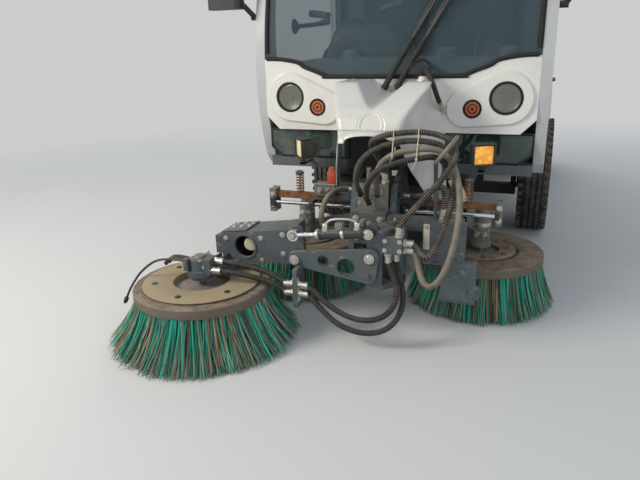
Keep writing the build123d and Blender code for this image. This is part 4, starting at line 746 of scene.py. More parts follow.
def make_wheel(axle, y, outward, side):
    """A tyre with grooves and shoulder blocks, and the rim's nuts and cap."""
    body, centre = axle + "_wheel_" + side, Vector((outward * WHEEL_X, y, WHEEL_Z))
    top, floor = 0.3285, 0.3185
    wall = [(0.205, -0.066), (0.214, -0.074), (0.232, -0.0795), (0.262, -0.084), (0.290, -0.0825), (0.312, -0.0745)]
    tread = []
    for groove in (-0.046, -0.016, 0.016, 0.046):
        tread += [(top, groove - 0.005), (floor, groove - 0.0035), (floor, groove + 0.0035), (top, groove + 0.005)]
    tyre = Form()
    tyre.turned(centre, (1, 0, 0), wall + tread + [(r, -d) for r, d in reversed(wall)], "tyre", 72)
    blocks = Form()
    for flank in (1, -1):
        blocks.brick((0.300, -0.0085, flank * 0.060), (0.3292, 0.0085, flank * 0.0825), "tyre", 0.002, steps=1)
    add_repeated(tyre, blocks, ring_tree, {"Count": 44}, "tyre", centre, ABOUT_X)
    tyre.finish(axle + "_tread_" + side, body, "tyre_rubber", [axle + "_tyre_" + side], 35)
    hub = Form()
    turn = ABOUT_X if outward > 0 else ABOUT_X @ Matrix.Rotation(math.pi, 3, "X")
    bolt_ring(hub, centre + Vector((outward * 0.0405, 0, 0)), 0.095, 6, 0.0, 0.012, "zinc", 0.018, turn)
    hub.turned(centre + Vector((outward * 0.060, 0, 0)), (outward, 0, 0), [
        (0.0, 0.024), (0.030, 0.022), (0.042, 0.012), (0.046, 0.0), (0.046, -0.004)
    ], "dark_metal", 24)
    hub.finish(axle + "_hub_" + side + "_fittings", body, "dark_metal")


# ---- brushes


def make_brush(name, node, centre, reach, seed, third):
    """A brush head: the moulded disc with its rim, and bristles that flare to the ground."""
    root_z, root_r = 0.203, 0.262
    x, y = centre
    disc = Form()
    disc.turned((x, y, 0), UP, [
        (0.155, 0.199), (0.250, 0.1985), (0.262, 0.188), (0.2665, 0.188), (0.268, 0.191), (0.268, 0.223),
        (0.264, 0.2275), (0.240, 0.2290), (0.172, 0.2290), (0.168, 0.2275), (0.158, 0.219), (0.155, 0.199),
    ], "disc_brown", 96)
    disc.turned((x, y, 0), UP, [
        (0.013, 0.200), (0.157, 0.200), (0.157, 0.214), (0.013, 0.2195), (0.013, 0.200)
    ], "casting", 64)
    if third:
        disc.turned((x, y, 0), UP, [
            (0.112, 0.2150), (0.112, 0.2372), (0.116, 0.2390), (0.226, 0.2390), (0.230, 0.2380), (0.2305, 0.2350),
            (0.200, 0.2345), (0.200, 0.2280)
        ], "ring_beige", 96)
        bolt_ring(disc, (x, y, 0.2388), 0.182, 6, 0.55, 0.009, "dark_metal", 0.0055)
    else:
        disc.turned((x, y, 0), UP, [
            (0.080, 0.2190), (0.080, 0.2290), (0.084, 0.2310), (0.146, 0.2310), (0.150, 0.2290), (0.150, 0.2150)
        ], "disc_brown", 64)
        bolt_ring(disc, (x, y, 0.2308), 0.120, 8, 0.2, 0.009, "rusty", 0.012)
    strand = Form()
    out, drop = reach - root_r + 0.012, root_z - 0.0025
    rings = []
    for t, width in ((0.0, 0.0030), (0.35, 0.0030), (0.7, 0.0026), (1.0, 0.0018)):
        middle_x, z = out * (0.62 * t + 0.38 * t * t), -drop * (1.08 * t - 0.08 * t * t)
        rings.append([Vector((middle_x + width * ahead, width * aside, z))
                      for ahead, aside in ((0.6, 0), (-0.5, 1), (-0.5, -1))])
    strand.rings(rings, "bristle", smooth=False)
    mesh = repeated(strand, bristle_tree, {
        "Count": 3200, "Tufts": 56, "Tuft width": 0.040, "Root": root_r - 0.004, "Depth": 0.050, "Lean": 0.26,
        "Shortest": 0.90, "Seed": seed,
    }, "bristle")
    for vert in mesh.vertices:
        vert.co += at(x, y, root_z)
    settle(bpy.data.objects.new(name + "_bristles", mesh), name)
    disc.finish(name + "_head", name, "brush_plastic", [node], 32)


# ---- the stage


class SweeperStage(bpy.types.PropertyGroup):
    """What can be set on the stage"""

    floor_colour: bpy.props.FloatVectorProperty(
        name="Floor colour", description="Colour of the floor and backdrop", subtype="COLOR", size=3,
        default=(0.72, 0.72, 0.70), min=0.0, max=1.0,
    )
    far_colour: bpy.props.FloatVectorProperty(
        name="Backdrop colour", description="Colour that the floor fades to far away", subtype="COLOR", size=3,
        default=(0.60, 0.61, 0.61), min=0.0, max=1.0,
    )
    key_power: bpy.props.FloatProperty(
        name="Key light", description="Power of the main lamp", default=190.0, min=0.0, subtype="POWER",
    )


class SweeperPaint(bpy.types.PropertyGroup):
    """What can be set on the brushes"""

    bristle_seed: bpy.props.IntProperty(
        name="Bristle seed", description="Chooses how the bristles lie", default=3, min=0,
    )
    side_reach: bpy.props.FloatProperty(
        name="Side brush radius", description="Radius of a side brush at the ground", default=0.324, min=0.28,
        unit="LENGTH",
    )
    third_reach: bpy.props.FloatProperty(
        name="Front brush radius", description="Radius of the front brush at the ground", default=0.385, min=0.28,
        unit="LENGTH",
    )


def seen_rays(tree):
    """A socket that is 1 for what the camera, metal and glass show, and 0 for light that falls on the sweeper."""
    rays = tree.nodes.new("ShaderNodeLightPath")
    total = rays.outputs["Is Camera Ray"]
    for name in ("Is Glossy Ray", "Is Transmission Ray"):
        either = tree.nodes.new("ShaderNodeMath")
        either.operation = "MAXIMUM"
        tree.links.new(total, either.inputs[0])
        tree.links.new(rays.outputs[name], either.inputs[1])
        total = either.outputs[0]
    return total


# half of the floor's width, how far it lies under the wheels, and from where to where it fades into the backdrop
FLOOR_HALF, FLOOR_DROP, FADE = 60, 0.0005, (2.4, 5.6)


def make_floor(scene):
    """A wide floor that fades into the backdrop's colour far away."""
    colour, backdrop = tuple(scene.sweeper_stage.floor_colour), tuple(scene.sweeper_stage.far_colour)
    mesh = bpy.data.meshes.new("floor")
    corners = ((-1, -1), (1, -1), (1, 1), (-1, 1))
    mesh.from_pydata([(x * FLOOR_HALF, y * FLOOR_HALF, -FLOOR_DROP) for x, y in corners], [], [(0, 1, 2, 3)])
    paint = Paint("studio_floor")
    paint.set("Roughness", 0.9)
    paint.set("Base Color", paint.mix(paint.noise(1.4, 4.0), colour, shade(colour, 0.96)))
    away = paint.node("ShaderNodeVectorMath", {"operation": "LENGTH"}, {0: paint.place((1, 1, 0))}, "Value")
    both = paint.node("ShaderNodeMixShader", {}, {
        0: Value(paint, seen_rays(paint.tree)) * away.step(*FADE),
        1: Value(paint, paint.shader.outputs[0]),
        2: paint.node("ShaderNodeEmission", {}, {"Color": backdrop, "Strength": 1.0}),
    })
    paint.tree.links.new(both.socket, paint.tree.nodes["Material Output"].inputs[0])
    mesh.materials.append(paint.material)
    ground = bpy.data.objects.new("floor", mesh)
    scene.collection.objects.link(ground)


def make_world(scene):
    """A pale blue sky for light, and the backdrop's colour for what the camera, metal and glass see."""
    scene.world = bpy.data.worlds.new("studio")
    scene.world.use_nodes = True
    nodes, links = scene.world.node_tree.nodes, scene.world.node_tree.links
    sky, shown, both = nodes["Background"], nodes.new("ShaderNodeBackground"), nodes.new("ShaderNodeMixShader")
    sky.inputs["Color"].default_value = (0.80, 0.88, 1.0, 1.0)
    sky.inputs["Strength"].default_value = 0.50
    shown.inputs["Color"].default_value = (*scene.sweeper_stage.far_colour, 1.0)
    links.new(seen_rays(scene.world.node_tree), both.inputs[0])
    links.new(sky.outputs[0], both.inputs[1])
    links.new(shown.outputs[0], both.inputs[2])
    links.new(both.outputs[0], nodes["World Output"].inputs[0])


def make_lights(scene):
    """A warm key from the front, a soft fill from its other side and a rim light from behind."""
    power, middle = scene.sweeper_stage.key_power, at(0.0, 0.0, 0.6)
    for name, place, share, size, colour in (
        ("key", (-3.6, -3.4, 3.4), 1.0, 1.6, (1.0, 0.93, 0.82)),
        ("fill", (3.8, -4.2, 2.6), 0.28, 3.5, (0.90, 0.95, 1.0)),
        ("rim", (-1.5, 6.5, 4.5), 0.55, 3.5, (1.0, 0.98, 0.95)),
    ):
        light = bpy.data.lights.new(name, "AREA")
        light.energy, light.size, light.color = power * share, size, colour
        held = bpy.data.objects.new(name, light)
        held.location = at(*place)
        held.rotation_euler = (middle - held.location).to_track_quat("-Z", "Y").to_euler()
        scene.collection.objects.link(held)


# the photo's camera: where it stands in the machine's frame, how it is turned, and its focal length in photo pixels
EYE = (0.598, -2.578, 1.123)
YAW, PITCH, ROLL = math.radians(20.257), math.radians(18.646), math.radians(-1.588)
FOCAL_PIXELS, PHOTO_WIDTH, SENSOR = 589.156, 640, 36.0


def make_camera(scene):
    """A camera that stands and looks as the photo's did."""
    camera = bpy.data.cameras.new("camera")
    camera.sensor_width = SENSOR
    camera.lens = FOCAL_PIXELS / PHOTO_WIDTH * SENSOR
    ahead = Vector((-math.sin(YAW) * math.cos(PITCH), math.cos(YAW) * math.cos(PITCH), -math.sin(PITCH)))
    right = Vector((math.cos(YAW), math.sin(YAW), 0))
    up = right.cross(ahead)
    turned_right = right * math.cos(ROLL) + up * math.sin(ROLL)
    turned_up = up * math.cos(ROLL) - right * math.sin(ROLL)
    axes = Matrix((turned_right, turned_up, -ahead)).transposed()
    scene.camera = bpy.data.objects.new("camera", camera)
    scene.camera.matrix_world = Matrix.Translation(at(*EYE)) @ axes.to_4x4()
    scene.collection.objects.link(scene.camera)


class SWEEPER_OT_stage(bpy.types.Operator):
    """Floor, backdrop, lamps, world and camera"""

    bl_idname = "sweeper.stage"
    bl_label = "Stage"

    def execute(self, context):
        context.scene.view_settings.view_transform = "Standard"
        for make in (make_floor, make_world, make_lights, make_camera):
            make(context.scene)
        return {"FINISHED"}


class SWEEPER_OT_wheels(bpy.types.Operator):
    """Tyres with their tread, and the wheels' nuts and caps"""

    bl_idname = "sweeper.wheels"
    bl_label = "Wheels"

    def execute(self, context):
        for sign, side in SIDES:
            for axle, y in AXLES:
                make_wheel(axle, y, sign, side)
                dress(axle + "_rim_" + side, "rim_paint")
        return {"FINISHED"}


class SWEEPER_OT_brushes(bpy.types.Operator):
    """The two side brushes and the front brush"""

    bl_idname = "sweeper.brushes"
    bl_label = "Brushes"

    def execute(self, context):
        paint = context.scene.sweeper_paint
        for sign, side in SIDES:
            make_brush("side_brush_" + side, "brush_" + side, (sign * SIDE_BRUSH[0], SIDE_BRUSH[1]),
                       paint.side_reach, paint.bristle_seed + sign, False)
        make_brush("front_brush", "third_brush", FRONT_BRUSH, paint.third_reach, paint.bristle_seed + 9, True)
        return {"FINISHED"}


NODE_FINISHES = {
    "chassis_frame": "frame_grey", "front_axle": "dark_metal", "knuckle_left": "dark_metal",
    "knuckle_right": "dark_metal", "rear_axle": "dark_metal", "cab_frame": "hoop_silver", "cab_tub": "grey_plastic",
    "roof": "shell_white", "beacon": "beacon_amber", "windscreen": "screen_glass", "cab_glass": "lower_glass",
    "lamp_panel": "shell_white", "front_lamps": "lamp_lens", "nose_cover": "shell_white",
    "dashboard": "dash_plastic", "steering_wheel": "black_plastic", "seats": "seat_cloth",
    "door_left": "hoop_silver", "door_right": "hoop_silver", "door_glass_left": "door_glass",
    "door_glass_right": "door_glass", "mirrors": "black_plastic", "wipers": "black_plastic",
    "work_lamps": "black_plastic", "front_mount": "frame_grey", "brush_arm_left": "casting",
    "brush_arm_right": "casting", "slew_bracket": "frame_grey", "link_plate": "frame_grey",
    "tilt_barrel": "dark_metal", "tilt_rod": "chrome", "box_arm": "frame_grey", "suction_mouth": "dark_metal",
    "suction_duct": "rubber", "hopper": "shell_white", "hopper_door": "shell_white", "tip_barrels": "dark_metal",
    "tip_rods": "chrome", "engine_block": "cast_alloy", "side_lockers": "shell_white",
    "engine_cover": "shell_white", "rear_lamps": "red_lens", "valve_block": "cast_alloy",
}


class SWEEPER_OT_finishes(bpy.types.Operator):
    """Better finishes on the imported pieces"""

    bl_idname = "sweeper.finishes"
    bl_label = "Finishes"

    def execute(self, context):
        for node, finish in NODE_FINISHES.items():
            dress(node, finish)
        return {"FINISHED"}


# ---- hose routes: their points repeat the source's, in the machine's own frame and in metres


LOOP_1 = (
    (-0.040, -0.330, 0.538), (-0.040, -0.372, 0.538), (-0.050, -0.415, 0.610), (-0.022, -0.434, 0.690),
    (0.050, -0.440, 0.742), (0.140, -0.440, 0.768), (0.225, -0.422, 0.768), (0.298, -0.404, 0.745),
    (0.336, -0.425, 0.680), (0.342, -0.480, 0.590), (0.322, -0.545, 0.480), (0.300, -0.590, 0.412),
    (0.274, -0.606, 0.378), (0.246, -0.586, 0.384), (0.218, -0.552, 0.412), (0.176, -0.552, 0.412),
)
LOOP_2 = (
    (0.030, -0.330, 0.538), (0.030, -0.372, 0.538), (0.038, -0.430, 0.610), (0.060, -0.462, 0.680),
    (0.110, -0.474, 0.722), (0.180, -0.470, 0.742), (0.250, -0.458, 0.748), (0.304, -0.438, 0.728),
    (0.350, -0.470, 0.662), (0.372, -0.525, 0.560), (0.368, -0.590, 0.440), (0.338, -0.628, 0.330),
    (0.298, -0.640, 0.280), (0.262, -0.614, 0.284), (0.236, -0.570, 0.332), (0.222, -0.546, 0.384),
    (0.176, -0.546, 0.384),
)
INNER = (
    ((0.120, -0.560, 0.372), (0.120, -0.560, 0.332), (0.150, -0.588, 0.286), (0.176, -0.622, 0.225),
     (0.140, -0.640, 0.150), (0.060, -0.645, 0.118), (-0.030, -0.645, 0.132), (-0.110, -0.640, 0.180),
     (-0.166, -0.640, 0.236), (-0.210, -0.640, 0.236)),
    ((0.146, -0.534, 0.372), (0.146, -0.534, 0.318), (0.178, -0.565, 0.250), (0.196, -0.615, 0.180),
     (0.152, -0.645, 0.100), (0.060, -0.650, 0.066), (-0.040, -0.648, 0.084), (-0.115, -0.642, 0.138),
     (-0.170, -0.640, 0.200), (-0.210, -0.640, 0.200)),
)
OUTER = (
    ((-0.230, -0.640, 0.236), (-0.264, -0.640, 0.236), (-0.320, -0.652, 0.276), (-0.390, -0.670, 0.300),
     (-0.450, -0.688, 0.317), (-0.498, -0.690, 0.319), (-0.540, -0.690, 0.319)),
    ((-0.230, -0.640, 0.200), (-0.264, -0.640, 0.200), (-0.312, -0.655, 0.240), (-0.380, -0.682, 0.264),
     (-0.445, -0.710, 0.286), (-0.498, -0.716, 0.289), (-0.540, -0.716, 0.289)),
)
NOSE = (
    ((-0.095, -0.220, 0.520), (-0.135, -0.220, 0.520), (-0.174, -0.262, 0.526), (-0.198, -0.335, 0.505),
     (-0.206, -0.392, 0.440), (-0.190, -0.372, 0.376), (-0.142, -0.310, 0.360), (-0.095, -0.310, 0.360)),
    ((0.095, -0.220, 0.505), (0.140, -0.220, 0.505), (0.192, -0.245, 0.512), (0.244, -0.300, 0.556),
     (0.284, -0.352, 0.588), (0.298, -0.372, 0.552), (0.290, -0.370, 0.505), (0.290, -0.370, 0.460)),
)

BUNDLE = (
    ((0.045, -0.300, 0.575), (0.045, -0.300, 0.618), (0.034, -0.322, 0.660), (0.018, -0.365, 0.708),
     (0.014, -0.424, 0.758), (0.070, -0.456, 0.788), (0.145, -0.452, 0.800), (0.225, -0.442, 0.804),
     (0.296, -0.428, 0.786), (0.334, -0.432, 0.752), (0.344, -0.476, 0.716), (0.312, -0.512, 0.662),
     (0.262, -0.536, 0.600), (0.212, -0.556, 0.542), (0.174, -0.568, 0.494), (0.162, -0.566, 0.460),
     (0.162, -0.566, 0.436)),
    ((-0.005, -0.330, 0.505), (-0.005, -0.380, 0.505), (0.002, -0.440, 0.555), (0.022, -0.486, 0.620),
     (0.070, -0.508, 0.672), (0.136, -0.506, 0.700), (0.206, -0.480, 0.712), (0.262, -0.440, 0.716),
     (0.300, -0.418, 0.690), (0.300, -0.442, 0.640), (0.264, -0.482, 0.596), (0.222, -0.508, 0.552),
     (0.182, -0.526, 0.512), (0.160, -0.534, 0.476), (0.160, -0.534, 0.436)),
)


def end_fitting(form, point, towards):
    """A crimped sleeve and a union nut on a hose end; the direction points into the hose."""
    point = Vector(point) - SHIFT
    form.turned(point, towards, [
        (0.0125, 0.012), (0.0148, 0.0135), (0.0148, 0.018), (0.0138, 0.019), (0.0138, 0.024), (0.0148, 0.025),
        (0.0148, 0.038), (0.0128, 0.040),
    ], "zinc", 20)
    form.rings([
        circle(point, towards, radius, 6, along)
        for along, radius in ((0.000, 0.0140), (0.0015, 0.0162), (0.0115, 0.0162), (0.013, 0.0135))
    ], "zinc", smooth=False)


def tie(form, points):
    """A cable tie pulled round hoses that pass through points in one X plane, with its lock and tail."""
    away = HOSE_RADIUS + 0.0018
    cloud = sorted(
        (y + away * math.cos(a), z + away * math.sin(a))
        for _, y, z in points for a in (math.pi * k / 8 for k in range(16))
    )
    hull = []
    for half in (cloud, cloud[::-1]):
        chain = []
        for y, z in half:
            while len(chain) > 1:
                (y0, z0), (y1, z1) = chain[-2:]
                if (y1 - y0) * (z - z0) > (z1 - z0) * (y - y0):
                    break
                chain.pop()
            chain.append((y, z))
        hull += chain[:-1]
    ring = [Vector((points[0][0], y, z)) for y, z in hull]
    form.tube(ring + ring[:1], 0.0022, "plate_beige", 6, caps=False)
    lock = min(ring, key=lambda p: p.y)
    low, high = lock - Vector((0.004, 0.005, 0.004)), lock + Vector((0.004, 0.001, 0.004))
    form.brick(low, high, "plate_beige", 0.001, steps=1)
    tail = [lock + Vector(step) for step in ((0, 0, 0), (-0.006, -0.010, -0.022), (-0.016, -0.008, -0.040))]
    form.tube(tail, 0.0014, "plate_beige", 6)


# ---- nose, lamps and cab front


# where the nose's hood begins and ends, and how many points its section has along a side, a bend and the front
NOSE_HOOD, NOSE_CREST = 0.870, 0.9615
NOSE_SIDE, NOSE_BEND, NOSE_FRONT = 24, 7, 72
# rows of (height, front Y, front half width, back half width)
NOSE_ROWS = (
    (0.470, -0.400, 0.150, 0.250), (0.755, -0.405, 0.121, 0.232), (0.800, -0.403, 0.1235, 0.2275),
    (0.840, -0.387, 0.134, 0.222), (NOSE_HOOD, -0.352, 0.149, 0.2185), (0.905, -0.298, 0.170, 0.215),
    (0.938, -0.238, 0.193, 0.212), (0.955, -0.204, 0.199, 0.208), (NOSE_CREST, -0.188, 0.194, 0.202),
)
# rows of (Y, height): the nose's lower edge, and the slope of its hood
SKIRT = ((-0.420, 0.745), (-0.395, 0.745), (-0.330, 0.640), (-0.200, 0.500), (-0.120, 0.470), (0.001, 0.470))
SLOPE = (
    (-0.352, NOSE_HOOD), (-0.298, 0.905), (-0.238, 0.938), (-0.204, 0.955), (-0.188, NOSE_CREST), (0.001, NOSE_CREST)
)
# the round badge recess as (X, height, radius), and the arch under it as (half width, foot, rise)
BADGE, ARCH = (0.010, 0.826, 0.046), (0.094, 0.752, 0.024)


def between(rows, key):
    """Linear reading of a table whose first column is the key."""
    for low, high in zip(rows, rows[1:]):
        if key <= high[0]:
            share = max(0.0, (key - low[0]) / (high[0] - low[0]))
            return [a + (b - a) * share for a, b in zip(low[1:], high[1:])]
    return list(rows[-1][1:])


def ease(low, high, value):
    """0 at low and 1 at high, smooth between; low may be the greater one."""
    share = min(1.0, max(0.0, (value - low) / (high - low)))
    return share * share * (3 - 2 * share)


def nose_outline(z):
    """The nose's section at a height, from its back left corner round the front to its back right one."""
    front_y, front, back = between(NOSE_ROWS, z)
    corner, root, radius = Vector((front, front_y)), Vector((back, 0.0)), 0.022
    start, stop = corner + (root - corner).normalized() * radius, corner - Vector((radius, 0.0))
    half = []
    for share in (i / NOSE_SIDE for i in range(NOSE_SIDE)):
        point = root.lerp(start, share)
        point.x -= 0.010 * math.sin(math.pi * share) * ease(0.62, 0.80, z)
        half.append(point)
    for t in (i / NOSE_BEND for i in range(NOSE_BEND)):
        half.append(start * (1 - t) ** 2 + corner * 2 * t * (1 - t) + stop * t * t)
    front_line = [Vector((stop.x * (1 - 2 * i / NOSE_FRONT), front_y)) for i in range(NOSE_FRONT + 1)]
    return half + front_line + [Vector((-p.x, p.y)) for p in reversed(half)]


def nose_top(x, y):
    """Height of the nose's hood: its slope and flat top, cut by the V trough that the wipers rise from."""
    slope = between(SLOPE, y)[0]
    trough = 0.874 + 0.86 * (math.hypot(x, 0.020) - 0.020) + 0.10 * (y + 0.352)
    return 0.5 * (slope + trough - math.hypot(slope - trough, 0.005))


def make_nose():
    """The moulded nose: side and front faces with a soft crease, badge recess, arch, and the hood with its trough."""
    form = Form()
    arch, foot, rise = ARCH
    lows = []
    for point in nose_outline(0.755):
        under = point.y < -0.36 and abs(point.x) < arch
        lows.append(foot + rise * math.sqrt(1 - (point.x / arch) ** 2) if under else between(SKIRT, point.y)[0])
    count, steps, sides = len(lows), 44, NOSE_SIDE + NOSE_BEND
    rings = [[] for _ in range(steps + 1)]
    sections = {}
    centre_x, centre_z, badge_r = BADGE
    for i, low in enumerate(lows):
        for k, ring in enumerate(rings):
            z = low + (NOSE_HOOD - low) * (k / steps)
            key = round(z, 3)
            if key not in sections:
                sections[key] = nose_outline(key)
            point = sections[key][i]
            y = point.y
            if y < -0.15 and z > 0.76:
                away = math.hypot(point.x - centre_x, (z - centre_z + 0.012))
                inside = ease(badge_r, badge_r - 0.006, away) * ease(centre_z - 0.030, centre_z - 0.024, z)
                y += 0.0055 * inside
                y += 0.0035 * ease(0.004, 0.0, abs(away - badge_r - 0.004) * (z > centre_z - 0.03))
            lip = 0.0035 * ease(0.014, 0.0, z - low)
            if k == steps:
                z = min(z, nose_top(point.x, point.y))
            ring.append(Vector((point.x * (1 + lip * 3), y - lip * (y < -0.3), z)))
    form.rings(rings, "nose_paint", closed=False)
    levels = [NOSE_HOOD + (NOSE_CREST - NOSE_HOOD) * k / 14 for k in range(15)]
    for chosen in (slice(0, sides + 1), slice(count - sides - 1, count)):
        form.rings([[Vector((*p, z)) for p in nose_outline(z)[chosen]] for z in levels], "nose_paint", closed=False)
    edge = [nose_outline(z)[sides] for z in levels] + nose_outline(NOSE_CREST)[sides - 1::-1]
    form.rings([
        [Vector((x, p.y, nose_top(x, p.y))) for x in (p.x * (1 - i / 36) for i in range(73))] for p in edge
    ], "nose_paint", closed=False)
    bmesh.ops.remove_doubles(form.bm, verts=form.bm.verts, dist=0.0004)
    bmesh.ops.recalc_face_normals(form.bm, faces=form.bm.faces)
    bmesh.ops.solidify(form.bm, geom=list(form.bm.faces), thickness=0.004)
    return form


def make_nose_fittings():
    """Small things on the nose: its filler cap, screws, washer hose and the thin loop beside it."""
    form = Form()
    form.turned((0.150, -0.110, 0.9625), UP, [
        (0.0, 0.016), (0.012, 0.0155), (0.017, 0.011), (0.018, 0.003), (0.024, 0.0015), (0.025, -0.002)
    ], "shell_white", 28)
    form.turned((0.150, -0.110, 0.976), UP, [(0.0, 0.004), (0.006, 0.0035), (0.007, 0.0)], "black_plastic", 16)
    for x, y in ((-0.165, -0.150), (0.165, -0.170), (-0.165, -0.030), (0.170, -0.030)):
        form.turned((x, y, 0.9622), UP, [(0.0, 0.0035), (0.005, 0.003), (0.0075, 0.0)], "zinc", 14)
    hose = smoothed([
        (0.140, -0.020, 0.972), (0.146, -0.075, 1.000), (0.170, -0.130, 0.995), (0.200, -0.165, 0.955),
        (0.216, -0.150, 0.905), (0.222, -0.090, 0.865), (0.224, -0.030, 0.838)
    ], 8)
    form.tube(hose[:-10], 0.0100, "hose_groove", 12)
    form.tube(hose[-12:], [0.0118] * 4 + [0.0085] * 8, "zinc", 12)
    form.turned((0.224, -0.016, 0.832), (0, 1, 0), [
        (0.0, -0.014), (0.009, -0.014), (0.009, -0.004), (0.014, -0.004), (0.014, 0.014), (0.0, 0.014)
    ], "zinc", 18)
    form.tube(smoothed([
        (0.040, -0.012, 0.960), (0.085, -0.030, 1.010), (0.125, -0.022, 1.040), (0.160, -0.014, 1.020),
        (0.158, -0.020, 0.985), (0.140, -0.020, 0.972)
    ], 8), 0.0045, "rubber", 8)
    return form


def arc_through(first, middle, last, count):
    """Points along the circle arc through three points in a plane of (Y, Z)."""
    (ax, ay), (bx, by), (cx, cy) = first, middle, last
    d = 2 * (ax * (by - cy) + bx * (cy - ay) + cx * (ay - by))
    ux = ((ax**2 + ay**2) * (by - cy) + (bx**2 + by**2) * (cy - ay) + (cx**2 + cy**2) * (ay - by)) / d
    uy = ((ax**2 + ay**2) * (cx - bx) + (bx**2 + by**2) * (ax - cx) + (cx**2 + cy**2) * (bx - ax)) / d
    radius = math.hypot(ax - ux, ay - uy)
    start, stop = math.atan2(ay - uy, ax - ux), math.atan2(cy - uy, cx - ux)
    turn = (stop - start + math.pi) % (2 * math.pi) - math.pi
    angles = [start + turn * i / count for i in range(count + 1)]
    return [(ux + radius * math.cos(a), uy + radius * math.sin(a)) for a in angles]


def make_front_lamps():
    """Headlamps with bowl, bulb cap, fluted glass and rubber ring; amber indicators with a ring and a bullseye."""
    form = Form()
    for side, _ in SIDES:
        for (x, z), parts in ((HEADLAMP, (
            ([(0.0655, -0.0055), (0.0655, 0.0090), (0.0640, 0.0100), (0.0585, 0.0100), (0.0572, 0.0080),
              (0.0572, -0.003)], "rubber", 48),
            ([(0.0572, 0.0055), (0.052, 0.0030), (0.040, -0.0008), (0.024, -0.0040), (0.010, -0.0052),
              (0.0, -0.0055)], "reflector", 48),
            ([(0.0115, -0.005), (0.0115, 0.0015), (0.009, 0.0040), (0.0, 0.0046)], "zinc", 24),
            ([(0.0580, 0.0062), (0.052, 0.0084), (0.040, 0.0100), (0.022, 0.0108), (0.0, 0.0111)], "lamp_lens", 48),
        )), (INDICATOR, (
            ([(0.0365, -0.0055), (0.0365, 0.0115), (0.0350, 0.0130), (0.0310, 0.0130), (0.0300, 0.0110),
              (0.0300, 0.003)], "rubber", 36),
            ([(0.0305, 0.0100), (0.0285, 0.0124), (0.0215, 0.0134), (0.0200, 0.0105), (0.0165, 0.0105),
              (0.0150, 0.0142), (0.0085, 0.0150), (0.0075, 0.0118), (0.0, 0.0116)], "amber_lens", 36),
            ([(0.0200, 0.0107), (0.0185, 0.0112), (0.0165, 0.0107)], "hose_groove", 36),
            ([(0.0058, 0.0112), (0.0052, 0.0124), (0.0, 0.0128)], "hose_groove", 20),
        ))):
            for profile, finish, steps in parts:
                form.turned((side * x, 0, z), AHEAD, profile, finish, steps)
    return form


def squared(value):
    """Bends a cosine or sine towards a rounded square."""
    return math.copysign(abs(value) ** 0.30, value)


def make_work_lamps():
    """Square work lamps with tapered housing, bezel, visor, glass and bracket, both turned outwards, their glass
    glowing with painted sunlight, amber on one and pale on the other.
    """
    form = Form()
    # each lamp's glass glows with painted sunlight, not with a switched-on lamp
    for side, glass, yaw, shift in ((1, "amber_painted_glint", 24, -0.004), (-1, "pale_painted_glint", -50, 0.026)):
        x, z, mark = side * WORK_LAMP[0], WORK_LAMP[1], len(form.bm.verts)
        form.rings([[
            Vector((x + half * squared(math.cos(a)), y, z + 0.96 * half * squared(math.sin(a))))
            for a in (2 * math.pi * k / 40 for k in range(40))
        ] for y, half in ((-0.112, 0.0440), (-0.110, 0.0470), (-0.086, 0.0480), (-0.058, 0.0400), (-0.044, 0.0250))],
            "black_plastic")
        for low_x, high_x, low_z, high_z in (
            (-0.049, 0.049, 0.618, 0.6275), (-0.049, 0.049, 0.7025, 0.712), (-0.049, -0.0395, 0.6275, 0.7025),
            (0.0395, 0.049, 0.6275, 0.7025),
        ):
            form.brick((x + low_x, -0.1255, low_z), (x + high_x, -0.104, high_z), "black_plastic", 0.003)
        form.brick((x - 0.049, -0.137, 0.7085), (x + 0.049, -0.070, 0.7125), "black_plastic", 0.0015)
        form.brick((x - 0.040, -0.1195, 0.627), (x + 0.040, -0.108, 0.703), glass, 0.005)
        for fin in range(5):
            low = Vector((x - 0.030, -0.0555, 0.634 + fin * 0.0145))
            form.brick(low, low + Vector((0.060, 0.013, 0.004)), "black_plastic", 0.001, steps=1)
        form.turn_from(mark, Matrix.Rotation(math.radians(yaw), 3, "Z"), (x, -0.082, 0), (shift, 0, 0))
        form.brick((x - 0.012, -0.0800, 0.5855), (x + 0.012, 0.0270, 0.5970), "dark_metal", 0.0015)
        form.brick((x - 0.012, -0.0800, 0.5855), (x + 0.012, -0.0660, 0.6250), "dark_metal", 0.0015)
        form.bolt((x, -0.040, 0.597), UP, 0.0075)
    return form


def make_wipers():
    """Two arms from pivots in the scoop, in thick dark sleeves, with their blades on the glass."""
    form = Form()
    for foot_x, top_x in ((-0.028, 0.186), (0.028, 0.240)):
        form.turned((foot_x, -0.020, 0.930), AHEAD, [
            (0.0, 0.010), (0.010, 0.009), (0.0145, 0.004), (0.015, -0.010), (0.0, -0.010)
        ], "black_plastic", 24)
        across = top_x - foot_x
        arm = smoothed([
            (foot_x, -0.030, 0.926), (foot_x + across * 0.30, -0.018, 1.042), (foot_x + across * 0.66, -0.005, 1.170),
            (top_x, 0.010, 1.290)
        ])
        form.tube(arm[:11], [0.0130] * 4 + [0.0118] * 7, "hose_groove", 12)
        form.tube(arm[9:], 0.0062, "black_plastic", 10)
        low, high = Vector((foot_x + across * 0.45, -0.008, 1.100)), Vector((top_x + 0.060, 0.050, 1.440))
        form.tube([low, low.lerp(high, 0.5), high], 0.0046, "black_plastic", 8)
        form.tube([low.lerp(high, t) + Vector((0.0, 0.0055, -0.002)) for t in (0.01, 0.5, 0.99)], 0.0024, "rubber", 6)
        for pin in (low.lerp(high, 0.22), low.lerp(high, 0.78)):
            form.brick(pin - Vector((0.009, 0.006, 0.012)), pin + Vector((0.009, 0.004, 0.012)), "black_plastic", 0.003)
        form.brick((top_x - 0.010, 0.002, 1.276), (top_x + 0.014, 0.020, 1.302), "black_plastic", 0.004)
    return form


